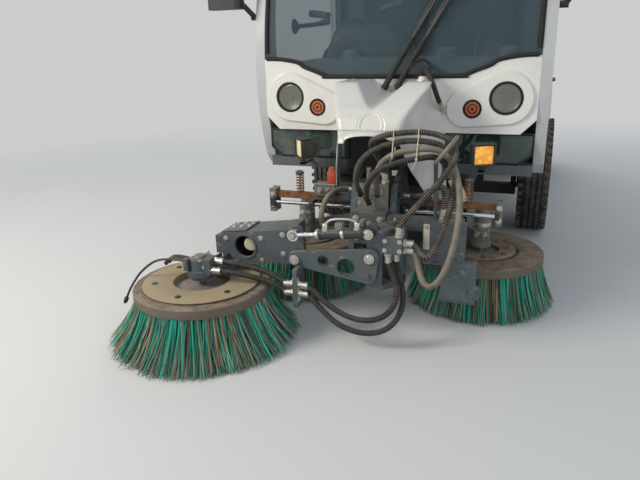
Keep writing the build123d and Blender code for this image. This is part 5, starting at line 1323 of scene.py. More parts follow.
def make_screen_trim():
    """Black rubber seal round the windscreen, and the glazing bars of the corner panes."""
    form = Form()
    side_x, foot_z = 0.5885, 1.0488
    profile = arc_through((0.436, 1.892), (0.155, 1.560), (0.005, 0.940), 40)
    pane = [(0.204, 0.604), (0.540, 0.604), (0.594, 0.648), (0.594, 0.731), (0.204, 0.731), (0.204, 0.604)]
    for side, _ in SIDES:
        form.tube([(side * side_x, y - 0.003, z) for y, z in profile if z >= foot_z], 0.0105, "rubber", 10)
        form.tube([(side * x, 0.0315, z) for x, z in pane], 0.007, "rubber", 8)
    lower = [
        (-side_x, 1.048), (-0.520, 1.045), (-0.440, 1.031), (-0.405, 1.010), (-0.350, 0.990), (-0.305, 0.972),
        (-0.270, 0.967)
    ]
    lower += [(-x, z) for x, z in reversed(lower)]
    form.tube(smoothed([(x, 0.000, z + 0.004) for x, z in lower], 5), 0.0092, "rubber", 10)
    form.tube([(x, 0.428, 1.884) for x in (-0.588, 0.588)], 0.010, "rubber", 8)
    return form


def make_cab_inside():
    """What shows through the windscreen: dash hood with its round pods, column cowl, stalks, levers and pedals."""
    form = Form()
    form.rings([
        [Vector((half * t, y, z - 0.03 * abs(t) ** 6)) for t in (2 * i / 40 - 1 for i in range(41))]
        for y, z, half in (
            (0.048, 0.935, 0.560), (0.060, 1.010, 0.556), (0.085, 1.036, 0.552), (0.140, 1.050, 0.548),
            (0.260, 1.046, 0.545), (0.330, 1.020, 0.548), (0.350, 0.960, 0.552), (0.352, 0.935, 0.555),
        )
    ], "dash_plastic", closed=False)
    for x, y in ((-0.228, 0.150), (0.205, 0.150), (0.468, 0.170)):
        form.turned((x, y, 1.046), (0, -0.14, 0.99), [
            (0.050, -0.010), (0.047, 0.006), (0.041, 0.010), (0.040, 0.028), (0.036, 0.034), (0.033, 0.030),
            (0.030, 0.034), (0.020, 0.037), (0.0, 0.038)
        ], "grey_plastic", 32)
    cowl = []
    for i in range(25):
        x, rise = -0.375 + 0.440 * i / 24, 0.200 * (1 - abs(i / 12 - 1) ** 5) * (1 - 0.38 * i / 24)
        cowl.append([
            Vector((x, 0.238 - 0.050 * math.cos(a), 1.040 + rise * math.sin(a) ** 0.6))
            for a in (math.pi * j / 16 for j in range(17))
        ])
    form.rings(cowl, "black_plastic", closed=False)
    form.tube([(-0.372, 0.250, 1.236), (-0.478, 0.300, 1.252)], 0.0165, "grey_plastic", 16)
    form.tube([(-0.115, 0.250, 1.255), (-0.025, 0.290, 1.280)], 0.0150, "grey_plastic", 16)
    for y in (0.120, 0.235):
        form.tube([(0.330, y, 1.050), (0.345, y + 0.010, 1.150), (0.352, y + 0.016, 1.190)], 0.010, "black_plastic")
    form.tube(smoothed([(-0.365, 0.240, 1.212), (-0.430, 0.240, 1.200), (-0.520, 0.236, 1.194)], 5),
              [0.0150] * 4 + [0.0105] * 7, "black_plastic", 12)
    form.turned((-0.520, 0.236, 1.194), (-1.0, 0.0, -0.03), [
        (0.0095, -0.010), (0.013, 0.000), (0.028, 0.010), (0.036, 0.018), (0.034, 0.024), (0.0, 0.026)
    ], "black_plastic", 28)
    column_x = -0.270
    for side, _ in SIDES:
        form.tube(smoothed([
            (column_x + side * 0.030, 0.440, 0.975), (column_x + side * 0.095, 0.405, 0.995),
            (column_x + side * 0.150, 0.395, 1.010)
        ], 4), [0.007] * 4 + [0.006] * 4 + [0.010], "black_plastic", 8)
    form.brick((column_x - 0.070, 0.330, 0.985), (column_x + 0.070, 0.352, 1.075), "dash_plastic", 0.010)
    form.turned((column_x, 0.352, 1.030), (0, 1, 0.1), [
        (0.036, 0.0), (0.036, 0.006), (0.032, 0.008), (0.0, 0.005)
    ], "black_plastic", 28)
    for x in (-0.360, -0.210):
        form.brick((x - 0.030, 0.250, 0.650), (x + 0.030, 0.270, 0.730), "black_plastic", 0.006)
        form.tube([(x, 0.262, 0.700), (x, 0.215, 0.800)], 0.007, "dark_metal", 8)
    return form


class SWEEPER_OT_front(bpy.types.Operator):
    """Nose, lamps, wipers, windscreen seal and what shows inside the cab"""

    bl_idname = "sweeper.front"
    bl_label = "Cab front"

    def execute(self, context):
        make_nose().finish("nose_moulding", "machine", "nose_white", ["nose_cover"], 50)
        make_nose_fittings().finish("nose_fittings", "machine", "black_plastic")
        make_front_lamps().finish("lamps_with_bowls", "machine", "lamp_lens", ["front_lamps"])
        make_work_lamps().finish("work_lamps_dressed", "machine", "black_plastic", ["work_lamps"])
        make_wipers().finish("wipers_dressed", "machine", "black_plastic", ["wipers"])
        make_screen_trim().finish("screen_seal", "machine", "black_plastic")
        make_cab_inside().finish("cab_controls", "machine", "grey_plastic")
        return {"FINISHED"}


# ---- front gear


def make_link_plate():
    """The lower link: a plate with two lightening holes, pin bosses, bolts and its hose clip."""
    form = Form()
    front, back, pin_r = -0.593, -0.577, 0.0132
    outline = []
    for x, z, radius, start, stop in (
        (*LOW_PINS[0], 0.034, -5, 82), (*LOW_PINS[1], 0.032, 95, 240), (0.050, 0.283, 0.034, 262, 355),
    ):
        for angle in (math.radians(start + (stop - start) * i / 8) for i in range(9)):
            outline.append((x + radius * math.cos(angle), back, z + radius * math.sin(angle)))
    lightening = ((-0.035, 0.309, 0.033), (-0.125, 0.326, 0.020))
    holes = [((x, back, z), radius) for x, z, radius in (*lightening, *((x, z, pin_r) for x, z in LOW_PINS))]
    form.slab(outline, AHEAD, back - front, "frame_grey", 0.0015, holes)
    for x, z, radius in lightening:
        form.turned((x, front, z), AHEAD, [
            (radius - 0.001, -0.017), (radius - 0.001, 0.0015), (radius + 0.002, 0.0015), (radius + 0.002, -0.001)
        ], "dark_metal")
    for x, z in LOW_PINS:
        form.turned((x, front, z), AHEAD, [
            (0.0135, -0.017), (0.0135, 0.003), (0.028, 0.003), (0.030, 0.0015), (0.030, -0.001)
        ], "frame_grey")
    form.bolt((0.050, front, 0.283), AHEAD, 0.011, "frame_grey", 0.012)
    form.brick((-0.230, -0.657, 0.144), (-0.210, -0.577, 0.300), "frame_grey", 0.003)
    form.brick((-0.234, -0.652, 0.168), (-0.206, -0.628, 0.268), "zinc", 0.003)
    return form


def make_arm_trim():
    """Pin heads, plates and bolts on the box arm, the cap in its hole and the spray pipe over the brush."""
    form = Form()
    x, y = FRONT_BRUSH
    for pin, radius, reach in ((LOW_PINS[1], 0.020, -0.603), (HIGH_PINS[1], 0.018, -0.613)):
        form.turned((pin[0], reach, pin[1]), AHEAD, [
            (0.0, 0.007), (radius * 0.6, 0.007), (radius * 0.66, 0.0055), (radius * 0.66, 0.001), (radius, 0.001),
            (radius, -0.003), (0.0, -0.003)
        ], "zinc", 28)
    for bolt_x, bolt_z in (
        (-0.552, 0.268), (-0.552, 0.372), (-0.300, 0.328), (-0.300, 0.408), (-0.395, 0.385), (-0.395, 0.292)
    ):
        form.bolt((bolt_x, -0.5692, bolt_z), AHEAD, 0.0085, height=0.007)
    for bolt_z in (0.322, 0.344, 0.366):
        form.bolt((-0.6002, -0.530, bolt_z), (-1, 0, 0), 0.0070, height=0.006)
    form.turned((-0.467, -0.5694, 0.345), AHEAD, [
        (0.0445, -0.010), (0.0445, 0.0035), (0.0465, 0.0045), (0.0520, 0.0045), (0.0530, 0.0030), (0.0530, -0.001)
    ], "frame_grey", 48)
    form.turned((-0.446, -0.548, 0.352), (0.45, -0.85, 0.30), [
        (0.0, 0.010), (0.026, 0.009), (0.030, 0.004), (0.031, -0.010), (0.0, -0.010)
    ], "plate_beige")
    plate_x, slope = -0.572, math.radians(-7.3)
    form.brick((plate_x, -0.560, 0.3935), (-0.460, -0.430, 0.3985), "frame_grey", 0.002,
               Matrix.Rotation(slope, 3, "Y"), (plate_x, 0, 0.392))
    for bolt_x in (-0.545, -0.510, -0.475):
        for bolt_y in (-0.500, -0.460):
            form.bolt((bolt_x, bolt_y, 0.3975 + (bolt_x - plate_x) * 0.129), UP, 0.0085)
    form.turned((x, y, 0.328), UP, [
        (0.0, 0.014), (0.020, 0.014), (0.024, 0.010), (0.026, 0.000), (0.040, -0.001), (0.0425, -0.006)
    ], "casting")
    bolt_ring(form, (x, y, 0.3275), 0.0345, 4, 0.5, 0.0055)
    for port in ((-0.572, -0.722, 0.300), (-0.572, -0.678, 0.300), (-0.612, -0.652, 0.296), (-0.586, -0.650, 0.312)):
        form.union(port, (-0.4, 0, 1), (0.030, 0.028, 0.014), 0.0120, -0.004)
    for offset in (0.0, 0.024):
        form.tube(smoothed([
            (-0.628, -0.676 - offset, 0.300), (-0.668, -0.690 - offset, 0.318), (-0.716, -0.700 - offset, 0.322),
            (-0.742, -0.706 - offset, 0.300)
        ]), 0.0085, "hose_black")
    pipe = smoothed([
        (-0.646, -0.742, 0.328), (-0.756, -0.752, 0.322), (-0.842, -0.752, 0.266), (-0.905, -0.752, 0.190),
        (-0.938, -0.752, 0.132)
    ], 8)
    form.tube(pipe, 0.0048, "black_plastic", 8)
    form.turned(pipe[-1], (-0.5, 0, -0.86), [
        (0.0, 0.022), (0.006, 0.022), (0.009, 0.010), (0.009, -0.006), (0.0, -0.008)
    ], "black_plastic", 16)
    form.brick((-0.646, -0.752, 0.288), (-0.628, -0.728, 0.336), "frame_grey", 0.002)
    for low_x in (-0.5825, -0.552):
        form.brick((low_x, -0.640, 0.2842), (low_x + 0.008, -0.5695, 0.310), "frame_grey", 0.0015)
    return form


def make_tilt_trim():
    """On the tilt cylinder: its gland, clamps, port elbows and the pipe between them."""
    form = Form()
    start, end = (Vector((x, -0.602, z)) for x, z in HIGH_PINS)
    along = (end - start).normalized()

    def beside(place, step):
        """A point at a distance along the cylinder, and a step off its axis."""
        return start + along * place + Vector(step)

    for place, radius, width, finish in (
        (0.200, 0.0212, 0.0055, "zinc"), (0.188, 0.0205, 0.004, "dark_metal"), (0.028, 0.0215, 0.010, "dark_metal"),
        (0.100, 0.0205, 0.006, "zinc"),
    ):
        form.turned(beside(place, (0, 0, 0)), along, [
            (0.0186, -width), (radius, -width), (radius + 0.0008, -width * 0.6), (radius + 0.0008, width * 0.6),
            (radius, width), (0.0186, width)
        ], finish, 28)
    for place in (0.045, 0.170):
        form.turned(beside(place, (0, 0, 0.017)), UP, [
            (0.0, 0.026), (0.010, 0.026), (0.012, 0.023), (0.012, 0.006), (0.0145, 0.004), (0.0145, -0.002)
        ], "zinc", 24)
    form.tube(smoothed([
        beside(0.045, (0, 0, 0.040)), beside(0.075, (0, -0.004, 0.056)), beside(0.140, (0, -0.004, 0.058)),
        beside(0.170, (0, 0, 0.040))
    ]), 0.0048, "zinc", 8)
    form.brick(beside(0.113, (-0.016, -0.018, 0.016)), beside(0.113, (0.016, 0.018, 0.046)), "casting", 0.006)
    return form


def make_slew_trim():
    """On the slew bracket: pin head, grease nipple, bolts and the valve pins over the cylinder."""
    form = Form()
    form.turned((*SLEW_PIN, 0.458), UP, [
        (0.0, 0.012), (0.020, 0.012), (0.028, 0.008), (0.030, 0.001), (0.034, 0.0), (0.034, -0.002)
    ], "dark_metal")
    form.turned((*SLEW_PIN, 0.469), UP, [(0.0, 0.012), (0.003, 0.012), (0.0045, 0.006), (0.0045, 0.0)], "zinc", 12)
    for (x, z), reach in ((LOW_PINS[0], -0.6035), (HIGH_PINS[0], -0.6190)):
        form.turned((x, reach, z), AHEAD, [
            (0.0, 0.006), (0.011, 0.006), (0.013, 0.004), (0.013, 0.001), (0.020, 0.001), (0.020, -0.002)
        ], "zinc", 28)
    for x in (0.112, 0.168):
        for z in (0.386, 0.422):
            form.bolt((x, -0.5782, z), AHEAD, 0.0065)
    for x, y in ((0.022, -0.560), (0.022, -0.535), (0.050, -0.560)):
        form.turned((x, y, 0.458), (-0.1, 0, 1), [
            (0.0, 0.030), (0.009, 0.030), (0.011, 0.026), (0.011, 0.012), (0.014, 0.012), (0.014, -0.003)
        ], "casting", 18)
    return form


def make_gear_trim():
    """On the front mount: ring trim, valve fittings, bars' sleeves, rods, springs, brackets, plates and bolts."""
    form = Form()
    for side, _ in SIDES:
        form.brick((side * 0.180, -0.2130, 0.4622), (side * 0.470, -0.1870, 0.4858), "rusty", 0.002)
        form.tube([(side * 0.100, -0.232, 0.444), (side * 0.492, -0.232, 0.444)], 0.0085, "chrome", 14)
        for x in (0.108, 0.300, 0.484):
            form.brick((side * (x - 0.009), -0.246, 0.430), (side * (x + 0.009), -0.186, 0.4635), "dark_metal", 0.003)
        foot, top = (side * 0.366, -0.200, 0.486), (side * 0.366, -0.200, 0.572)
        form.coil(foot, top, 0.016, 0.0030, 7, "rusty")
        form.tube([foot, top], 0.0055, "zinc")
        form.turned(top, UP, [(0.0, 0.012), (0.012, 0.012), (0.019, 0.006), (0.019, 0.0), (0.0, -0.002)],
                    "dark_metal", 20)
        form.brick((side * 0.478, -0.224, 0.400), (side * 0.503, -0.176, 0.500), "casting")
        for z in (0.475, 0.425):
            form.bolt((side * 0.490, -0.2245, z), AHEAD, 0.009)
        form.brick((side * 0.200, -0.226, 0.486), (side * 0.285, -0.178, 0.532), "casting", 0.006)
        for x in (0.222, 0.262):
            form.union((side * x, -0.226, 0.509), AHEAD, (0.020, 0.017, 0.006), 0.012, -0.002)
        form.tube(smoothed([
            (side * 0.222, -0.246, 0.509), (side * 0.205, -0.275, 0.500), (side * 0.165, -0.262, 0.470),
            (side * 0.118, -0.240, 0.468)
        ]), 0.0062, "hose_black", 8)
        for z in (0.330, 0.420, 0.520):
            form.bolt((side * 0.0955, -0.270, z), (side, 0, 0), 0.010, "dark_metal")
        for z in (0.365, 0.445):
            form.bolt((side * 0.050, -0.4002, z), AHEAD, 0.011)
        form.turned((side * 0.165, 0.215, 0.423), UP, [
            (0.0, 0.022), (0.013, 0.020), (0.020, 0.014), (0.030, 0.004), (0.030, 0.0)
        ], "dark_metal", 24)
    form.brick((-0.236, -0.216, 0.533), (-0.198, -0.184, 0.590), "red_rubber", 0.008)
    form.turned((-0.217, -0.200, 0.588), UP, [(0.0, 0.020), (0.010, 0.018), (0.014, 0.004), (0.014, -0.004)],
                "red_rubber", 20)
    form.brick((0.330, -0.214, 0.490), (0.372, -0.208, 0.596), "plate_beige", 0.002,
               Matrix.Rotation(math.radians(-28), 3, "Y"), (0.350, -0.2, 0.490))
    form.brick((0.228, -0.4292, 0.350), (0.252, -0.4255, 0.452), "plate_beige", 0.0015)
    for z in (0.360, 0.441):
        form.bolt((0.240, -0.4292, z), AHEAD, 0.0055)
    for x in (0.282, 0.366):
        for z in (0.318, 0.432):
            form.bolt((x, -0.4262, z), AHEAD, 0.009, "frame_grey")
    form.brick((0.270, -0.4300, 0.2960), (0.340, -0.4255, 0.3040), "frame_grey", 0.002)
    form.turned((0.428, -0.428, 0.188), (0.55, -0.8, -0.1), [
        (0.0, 0.016), (0.022, 0.015), (0.030, 0.008), (0.032, -0.012), (0.0, -0.014)
    ], "frame_grey", 28)
    ring = circle((0.300, -0.420, 0.735), (0.8, 0, -0.6), 0.060, 40)
    form.tube(ring + ring[:1], 0.0078, "ring_steel", 12, caps=False)
    for x in (-0.035, 0.0, 0.035):
        form.turned((x, -0.250, 0.6205), UP, [(0.0, 0.008), (0.008, 0.008), (0.0125, 0.003), (0.013, -0.004)],
                    "zinc", 20)
    for x in (-0.054, -0.026, 0.004):
        for z in (0.490, 0.564):
            form.bolt((x, -0.3302, z), AHEAD, 0.0055)
    return form


def make_side_motor(side):
    """Cap, bolts, clamp and ports of a side brush's motor."""
    form = Form()
    x, y = side * SIDE_BRUSH[0], SIDE_BRUSH[1]
    form.turned((x, y, 0.3755), UP, [
        (0.0, 0.040), (0.026, 0.040), (0.029, 0.036), (0.029, 0.010), (0.034, 0.006), (0.0355, 0.0), (0.0355, -0.003)
    ], "casting")
    bolt_ring(form, (x, y, 0.380), 0.0305, 4, 0.4, 0.0045, height=0.005)
    form.turned((x, y, 0.345), UP, [(0.0362, -0.009), (0.0385, -0.007), (0.0385, 0.007), (0.0362, 0.009)], "zinc")
    for port_x in (x - 0.016, x + 0.016):
        form.union((port_x, y - 0.030, 0.305), AHEAD, (0.026, 0.022, 0.010), 0.0125, -0.002)
    return form


class SWEEPER_OT_gear(bpy.types.Operator):
    """Dressing of the front gear: link plate, pins, bolts, fittings, springs, bars and pipes"""

    bl_idname = "sweeper.gear"
    bl_label = "Front gear"

    def execute(self, context):
        make_link_plate().finish("lower_link", "lift_link", "frame_grey", ["link_plate"], 35)
        make_arm_trim().finish("box_arm_trim", "head_arm", "frame_grey", (), 35)
        make_tilt_trim().finish("tilt_cylinder_trim", "tilt_link", "dark_metal", (), 35)
        make_slew_trim().finish("slew_trim", "slew_arm", "frame_grey", (), 35)
        make_gear_trim().finish("gear_trim", "machine", "frame_grey", (), 35)
        for side, name in SIDES:
            make_side_motor(side).finish("motor_trim_" + name, "swing_arm_" + name, "frame_grey", (), 35)
        return {"FINISHED"}


def route_points(points):
    """The smooth line of a route: a NURBS spline read back as points."""
    curve = bpy.data.curves.new("route", "CURVE")
    curve.dimensions = "3D"
    spline = curve.splines.new("NURBS")
    spline.points.add(len(points) - 1)
    for held, point in zip(spline.points, points):
        held.co = (*at(*point), 1.0)
    spline.order_u = 3
    spline.use_endpoint_u = True
    curve.resolution_u = 24
    holder = bpy.data.objects.new("route", curve)
    bpy.context.scene.collection.objects.link(holder)
    line = [v.co.copy() for v in baked(holder).vertices]
    bpy.data.objects.remove(holder)
    return line


def walk(line, step):
    """Points along a line, one about every step, and its length."""
    lengths = [(b - a).length for a, b in zip(line, line[1:])]
    total = sum(lengths)
    count = max(2, round(total / step))
    out, index, passed = [], 0, 0.0
    for k in range(count + 1):
        goal = total * k / count
        while index < len(lengths) - 1 and passed + lengths[index] < goal:
            passed += lengths[index]
            index += 1
        out.append(line[index].lerp(line[index + 1], min(1.0, (goal - passed) / lengths[index])))
    return out, total


# ---- seats


# room that a cushion leaves to swell, its grid, how far it swells, and the depth and width of its sewn channels
SWELL_ROOM, CLOTH_GRID, SWELL = 0.007, 0.014, 0.014
SEAM_DEPTH, SEAM_WIDTH = 0.007, 0.008
CLOTH_FRAMES = 20


def cushion(name, low, high, radius, front):
    """A padded cushion: swollen by a short cloth run inside its space, then its sewn channels pressed in."""
    low, high = at(*low), at(*high)
    middle, half = (low + high) / 2, (high - low) / 2 - Vector((SWELL_ROOM,) * 3)
    shape = bmesh.new()
    bmesh.ops.create_cube(shape, size=2.0)
    bmesh.ops.subdivide_edges(shape, edges=list(shape.edges), cuts=11, use_grid_fill=True)
    for vert in shape.verts:
        spot = vert.co * half
        core = Vector(max(radius - h, min(h - radius, s)) for s, h in zip(spot, half))
        spot = core + (spot - core).normalized() * radius
        spot.x *= 0.97 + 0.03 * abs(vert.co[2 - front]) ** 2
        vert.co = middle + spot
    mesh = bpy.data.meshes.new(name)
    shape.to_mesh(mesh)
    shape.free()
    piece = bpy.data.objects.new(name, mesh)
    scene = bpy.context.scene
    scene.collection.objects.link(piece)
    grid = piece.modifiers.new("remesh", "REMESH")
    grid.mode, grid.voxel_size = "VOXEL", CLOTH_GRID
    piece.data = baked(piece)
    piece.modifiers.clear()
    settings = piece.modifiers.new("cloth", "CLOTH").settings
    settings.use_pressure, settings.uniform_pressure_force = True, 4.0
    settings.effector_weights.gravity = 0.0
    for frame_number in range(1, CLOTH_FRAMES + 1):
        scene.frame_set(frame_number)
    swollen = baked(piece)
    piece.modifiers.clear()
    scene.frame_set(1)
    for vert, target in zip(piece.data.vertices, swollen.vertices):
        move = target.co - vert.co
        vert.co += move * min(1.0, SWELL / max(move.length, 1e-6))
    bpy.data.meshes.remove(swollen)
    finer = piece.modifiers.new("finer", "SUBSURF")
    finer.levels = finer.render_levels = 1
    piece.data = baked(piece)
    piece.modifiers.clear()
    up = 3 - front
    for vert in piece.data.vertices:
        facing = vert.normal[2] if front == 2 else -vert.normal[1]
        if facing > 0.3:
            x, v = vert.co.x - middle.x, vert.co[up] - middle[up]
            seam = min(abs(abs(x) - half.x * 0.56), abs(v - half[up] * 0.42))
            pressed = SEAM_DEPTH * math.exp(-(seam / SEAM_WIDTH) ** 2) * min(1.0, (facing - 0.3) * 3)
            vert.co -= vert.normal * pressed
        vert.co = Vector(max(a, min(b, c)) for a, b, c in zip(low, high, vert.co))
    for polygon in piece.data.polygons:
        polygon.use_smooth = True
    settle(piece, "machine", ["seats"], ["seat_cloth"])


class SWEEPER_OT_seats(bpy.types.Operator):
    """Two seats: cushions and backs in woven cloth, with piping and slides"""

    bl_idname = "sweeper.seats"
    bl_label = "Seats"

    def execute(self, context):
        form = Form()
        for side, name in SIDES:
            low, high = sorted((side * 0.040, side * 0.470))
            cushion("seat_cushion_" + name, (low, 0.650, 0.780), (high, 1.070, 0.890), 0.045, 2)
            cushion("seat_back_" + name, (low, 1.080, 0.890), (high, 1.160, 1.450), 0.036, 1)
            for x in (low + 0.004, low + 0.426):
                form.tube(smoothed([(x, 1.150, 0.900), (x, 1.090, 0.860), (x, 0.900, 0.840), (x, 0.700, 0.838)]),
                          0.006, "piping", 8)
            for x in (low + 0.050, high - 0.080):
                form.brick((x, 0.690, 0.772), (x + 0.030, 1.050, 0.782), "dark_metal", 0.002)
        form.finish("seat_piping", "machine", "black_plastic")
        return {"FINISHED"}


# ---- mirrors, cab sides, hopper, lockers and rear


def make_mirror_trim():
    """Mirror faces in their rubber frames, on the backs of the housings."""
    form = Form()
    for side, _ in SIDES:
        x, z = side * MIRROR[0], MIRROR[1]

        def oval(half_x, half_z, y):
            """The mirror's rounded outline in a plane of one Y."""
            return [(x + half_x * squared(math.cos(a)), y, z + half_z * squared(math.sin(a)))
                    for a in (2 * math.pi * k / 48 for k in range(48))]

        form.slab(oval(0.060, 0.135, 0.0085), (0, 1, 0), 0.0030, "mirror_face", 0)
        rubber = oval(0.062, 0.137, 0.0105)
        form.tube(rubber + rubber[:1], 0.004, "rubber", 8, caps=False)
        for pivot_z in (1.330, 1.500):
            form.turned((x - side * 0.084, -0.025, pivot_z), (-side, 0, 0), [
                (0.0, 0.004), (0.010, 0.003), (0.012, -0.002)
            ], "zinc", 16)
    return form


def make_side_trim(side):
    """On a door: its handle and lock."""
    form = Form()
    x = side * 0.655
    form.tube(smoothed([
        (x + side * off, y, 0.893)
        for off, y in ((0, 0.905), (0.014, 0.925), (0.016, 0.970), (0.014, 1.015), (0, 1.035))
    ], 5), 0.008, "black_plastic")
    form.turned((side * 0.632, 1.060, 0.850), (side, 0, 0), [
        (0.0, 0.005), (0.013, 0.004), (0.015, 0.0), (0.015, -0.006)
    ], "zinc", 24)
    return form


def make_hopper_trim():
    """On the hopper: pressed ribs, bolts, latch hooks and their pins."""
    form = Form()
    for side, _ in SIDES:
        for z in (1.120, 1.420, 1.700):
            form.rings([[
                Vector((side * (0.6045 + 0.006 * (0 < k < 5)), y, z + 0.030 * (k / 2.5 - 1))) for k in range(6)
            ] for y in (1.520, 1.530, 3.290, 3.300)], "shell_white", caps=False)
        for y in (1.560, 2.020, 2.480, 2.940, 3.280):
            form.bolt((side * 0.6055, y, 0.960), (side, 0, 0), 0.009, height=0.005)
        for z in (1.060, 1.500):
            form.brick((side * 0.560, 3.330, z), (side * 0.611, 3.372, z + 0.055), "dark_metal")
            form.bolt((side * 0.611, 3.350, z + 0.028), (side, 0, 0), 0.010, height=0.006)
    return form


def make_flap_trim():
    """On the hopper door: stiffening pressings, grab handle and rubber edge."""
    form = Form()
    for z in (1.080, 1.350, 1.620):
        form.brick((-0.480, 3.402, z), (0.480, 3.4105, z + 0.060), "shell_white", 0.006, steps=3)
    form.tube(smoothed([
        (-0.110, 3.404, 0.985), (-0.105, 3.430, 0.985), (0.105, 3.430, 0.985), (0.110, 3.404, 0.985)
    ], 5), 0.008, "black_plastic")
    form.tube([(-0.560, 3.402, 0.925), (0.560, 3.402, 0.925)], 0.007, "rubber", 8)
    return form


def make_locker_trim():
    """On the side lockers: door gaps as thin black strips of painted shade, flush latches, vents, amber side markers,
    bolts and the rear lamps' lenses.
    """
    form = Form()
    for side, _ in SIDES:
        x = side * LOCKER_FACE
        # painted shade: thin black strips stand for the shade in the gaps between the locker doors
        for y in (1.990, 2.420, 3.380):
            form.brick((x - 0.002, y - 0.002, 0.480), (x + 0.0006, y + 0.002, 0.880), "black_plastic", 0)
        for y in (1.780, 2.200):
            form.turned((x, y, 0.800), (side, 0, 0), [
                (0.0, 0.002), (0.020, 0.002), (0.022, 0.004), (0.030, 0.004), (0.032, 0.0), (0.032, -0.003)
            ], "black_plastic", 28)
        slat = Form()
        slat.brick((-0.002, -0.090, -0.006), (0.005, 0.090, 0.006), "dark_metal", 0.003, steps=1)
        rise = {"Count": 7, "Step": (0.0, 0.0, 0.024)}
        add_repeated(form, slat, row_tree, rise, "dark_metal", (x, 2.205, 0.560))
        form.brick((x - 0.003, 1.640, 0.560), (x + 0.009, 1.740, 0.592), "amber_lens")
        form.brick((x - 0.004, 1.632, 0.552), (x + 0.004, 1.748, 0.600), "black_plastic", 0.003)
        for y, z in ((1.590, 0.470), (1.590, 0.860), (2.450, 0.470), (3.400, 0.520)):
            form.bolt((x, y, z), (side, 0, 0), 0.006, height=0.004)
        low, high = sorted((side * 0.452, side * 0.583))
        third = (high - low) / 3
        for i, finish in enumerate(("amber_lens", "red_lens", "lamp_lens")):
            left, right = low + third * i + 0.002, low + third * (i + 1) - 0.002
            form.brick((left, 3.466, 0.350), (right, 3.475, 0.410), finish)
    return form


def make_cover_trim():
    """On the engine cover: round reflectors, latches and the handle."""
    form = Form()
    for x in (-0.520, 0.520):
        form.turned((x, REAR_FACE, 0.490), (0, 1, 0), [
            (0.0, 0.006), (0.030, 0.006), (0.034, 0.003), (0.035, -0.002)
        ], "red_lens")
    for x in (0.380, 0.540):
        form.turned((x, REAR_FACE, 0.800), (0, 1, 0), [
            (0.0, 0.004), (0.016, 0.004), (0.019, 0.0), (0.019, -0.003)
        ], "black_plastic", 24)
    form.tube(smoothed([(0.520, 3.458, 0.600), (0.520, 3.474, 0.610), (0.520, 3.474, 0.690), (0.520, 3.458, 0.700)], 5),
              0.006, "black_plastic")
    return form


def make_beacon_trim():
    """The beacon's black base and the step at the top of its lens."""
    form = Form()
    form.turned((0.0, 0.980, 1.986), UP, [
        (0.055, 0.027), (0.0640, 0.024), (0.0660, 0.018), (0.0660, 0.004), (0.0630, 0.0), (0.058, 0.0)
    ], "black_plastic", 48)
    form.turned((0.0, 0.980, 2.113), UP, [(0.0, 0.0015), (0.020, 0.001), (0.0435, -0.003), (0.0445, -0.010)],
                "beacon_amber", 48)
    return form


class SWEEPER_OT_body(bpy.types.Operator):
    """Mirrors, door fittings, hopper ribs, locker doors, engine cover latches, rear lamps and beacon base"""

    bl_idname = "sweeper.body"
    bl_label = "Body fittings"

    def execute(self, context):
        make_mirror_trim().finish("mirror_faces", "machine", "black_plastic")
        for side, name in SIDES:
            make_side_trim(side).finish("door_fittings_" + name, "cab_door_" + name, "black_plastic")
        make_hopper_trim().finish("hopper_ribs", "hopper_shell", "body_white")
        make_flap_trim().finish("hopper_door_trim", "rear_flap", "body_white")
        make_locker_trim().finish("locker_trim", "machine", "black_plastic")
        make_cover_trim().finish("engine_cover_latches", "rear_cover", "black_plastic")
        make_beacon_trim().finish("beacon_base", "machine", "black_plastic")
        return {"FINISHED"}


# ---- hoses


# how far apart a hose's points are, plain and ribbed, the pitch of the ribs and how much of each end is in its sleeve
PLAIN_STEP, RIBBED_STEP, RIB_PITCH, SLEEVE = 0.006, 0.0022, 0.0088, 0.036
HOSE_SIDES = 12


def make_hose(name, points, body, node, finish, ends, ribbed=True, second=None):
    """A hose along its route, ribbed by its spiral guard or smooth; its crimped ends go to the forms of its bodies."""
    step = RIBBED_STEP if ribbed else PLAIN_STEP
    path, length = walk(route_points(points), step)
    form = Form()
    radii = []
    for i in range(len(path)):
        wave = 0.5 + 0.5 * math.cos(2 * math.pi * i * step / RIB_PITCH) if ribbed else 1.0
        inside = min(i, len(path) - 1 - i) * step > SLEEVE
        radii.append(HOSE_RADIUS * (0.80 + 0.20 * wave if inside else 0.96))
    form.tube([p - SHIFT for p in path], radii, finish, HOSE_SIDES)
    if ribbed:
        groove = form.index("hose_groove")
        form.bm.faces.ensure_lookup_table()
        for i in range(len(path) - 1):
            if (radii[i] + radii[i + 1]) / 2 < HOSE_RADIUS * 0.93:
                for face in form.bm.faces[i * HOSE_SIDES:(i + 1) * HOSE_SIDES]:
                    face.material_index = groove
    piece = form.finish(name, None if second else body, "hose_rubber", [node])
    if second:
        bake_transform(piece)
    [tuple(p) for p in path[::3] + [path[-1]]]
    end_fitting(ends.setdefault(body, Form()), path[0], path[3] - path[0])
    end_fitting(ends.setdefault(second[0] if second else body, Form()), path[-1], path[-4] - path[-1])
    return path


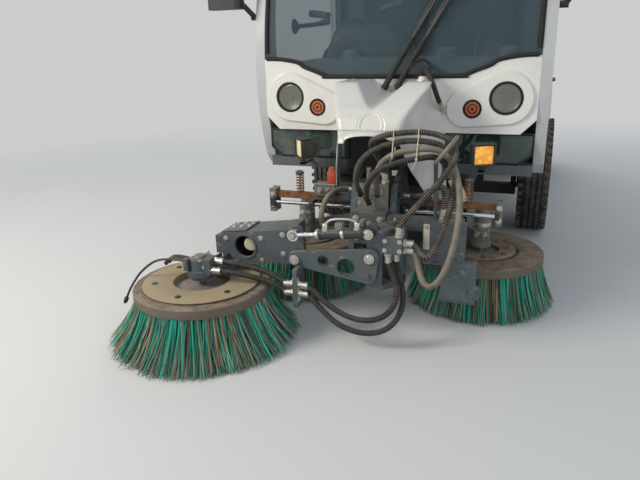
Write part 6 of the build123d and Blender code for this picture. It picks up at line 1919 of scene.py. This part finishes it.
class SWEEPER_OT_hoses(bpy.types.Operator):
    """The hydraulic hoses, each along its own route"""

    bl_idname = "sweeper.hoses"
    bl_label = "Hoses"

    def execute(self, context):
        ends = {}
        slewed = ("slew_arm", at(0.320, -0.410, 0.720), at(0.200, -0.560, 0.400))
        paths = [
            make_hose(name, points, "machine", node, finish, ends, ribbed, slewed)
            for name, points, node, finish, ribbed in (
                ("loop_hose_1_dressed", LOOP_1, "loop_hose_1", "hose_dusty", True),
                ("loop_hose_2_dressed", LOOP_2, "loop_hose_2", "hose_plain", False),
                ("bundle_hose_1", BUNDLE[0], "bundle_hoses", "hose_dusty", True),
                ("bundle_hose_2", BUNDLE[1], "bundle_hoses", "hose_black", True),
            )
        ]
        ties = Form()
        for x, used in ((0.115, paths[:3]), (0.205, paths)):
            near = [min(path[:len(path) // 2], key=lambda p: abs(p.x - SHIFT.x - x)) - SHIFT for path in used]
            tie(ties, [(x, p.y, p.z) for p in near])
        ties.finish("hose_ties", "machine", "black_plastic")
        for number, points in enumerate(INNER, 1):
            make_hose("inner_hose_%d" % number, points, "slew_arm", "inner_arm_hoses", "hose_black", ends,
                      second=("lift_link", at(*points[2]), at(*points[7])))
        for number, points in enumerate(OUTER, 1):
            make_hose("outer_hose_%d" % number, points, "lift_link", "outer_arm_hoses", "hose_black", ends,
                      second=("head_arm", at(*points[1]), at(*points[4])))
        for number, points in enumerate(NOSE, 1):
            make_hose("nose_hose_%d" % number, points, "machine", "nose_hoses", "hose_plain", ends, number == 2)
        for body, form in ends.items():
            form.finish("hose_ends_" + body, body, "valve_metal", (), 35)
        return {"FINISHED"}


OPERATORS = [
    SWEEPER_OT_stage, SWEEPER_OT_seats, SWEEPER_OT_finishes, SWEEPER_OT_wheels, SWEEPER_OT_brushes,
    SWEEPER_OT_front, SWEEPER_OT_gear, SWEEPER_OT_hoses, SWEEPER_OT_body,
]


class SWEEPER_PT_panel(bpy.types.Panel):
    """Lists the sweeper's steps"""

    bl_label = "Road sweeper"
    bl_space_type = "VIEW_3D"
    bl_region_type = "UI"
    bl_category = "Sweeper"

    def draw(self, context):
        for group in (context.scene.sweeper_stage, context.scene.sweeper_paint):
            for name in group.__annotations__:
                self.layout.prop(group, name)
        for operator in OPERATORS:
            self.layout.operator(operator.bl_idname)


CLASSES = [SweeperStage, SweeperPaint, *OPERATORS, SWEEPER_PT_panel]


def register():
    for held in CLASSES:
        bpy.utils.register_class(held)
    bpy.types.Scene.sweeper_stage = bpy.props.PointerProperty(type=SweeperStage)
    bpy.types.Scene.sweeper_paint = bpy.props.PointerProperty(type=SweeperPaint)


def unregister():
    del bpy.types.Scene.sweeper_stage
    del bpy.types.Scene.sweeper_paint
    for held in reversed(CLASSES):
        bpy.utils.unregister_class(held)


def main():
    register()
    for operator in OPERATORS:
        group, name = operator.bl_idname.split(".")
        getattr(getattr(bpy.ops, group), name)()


if __name__ == "__main__":
    main()
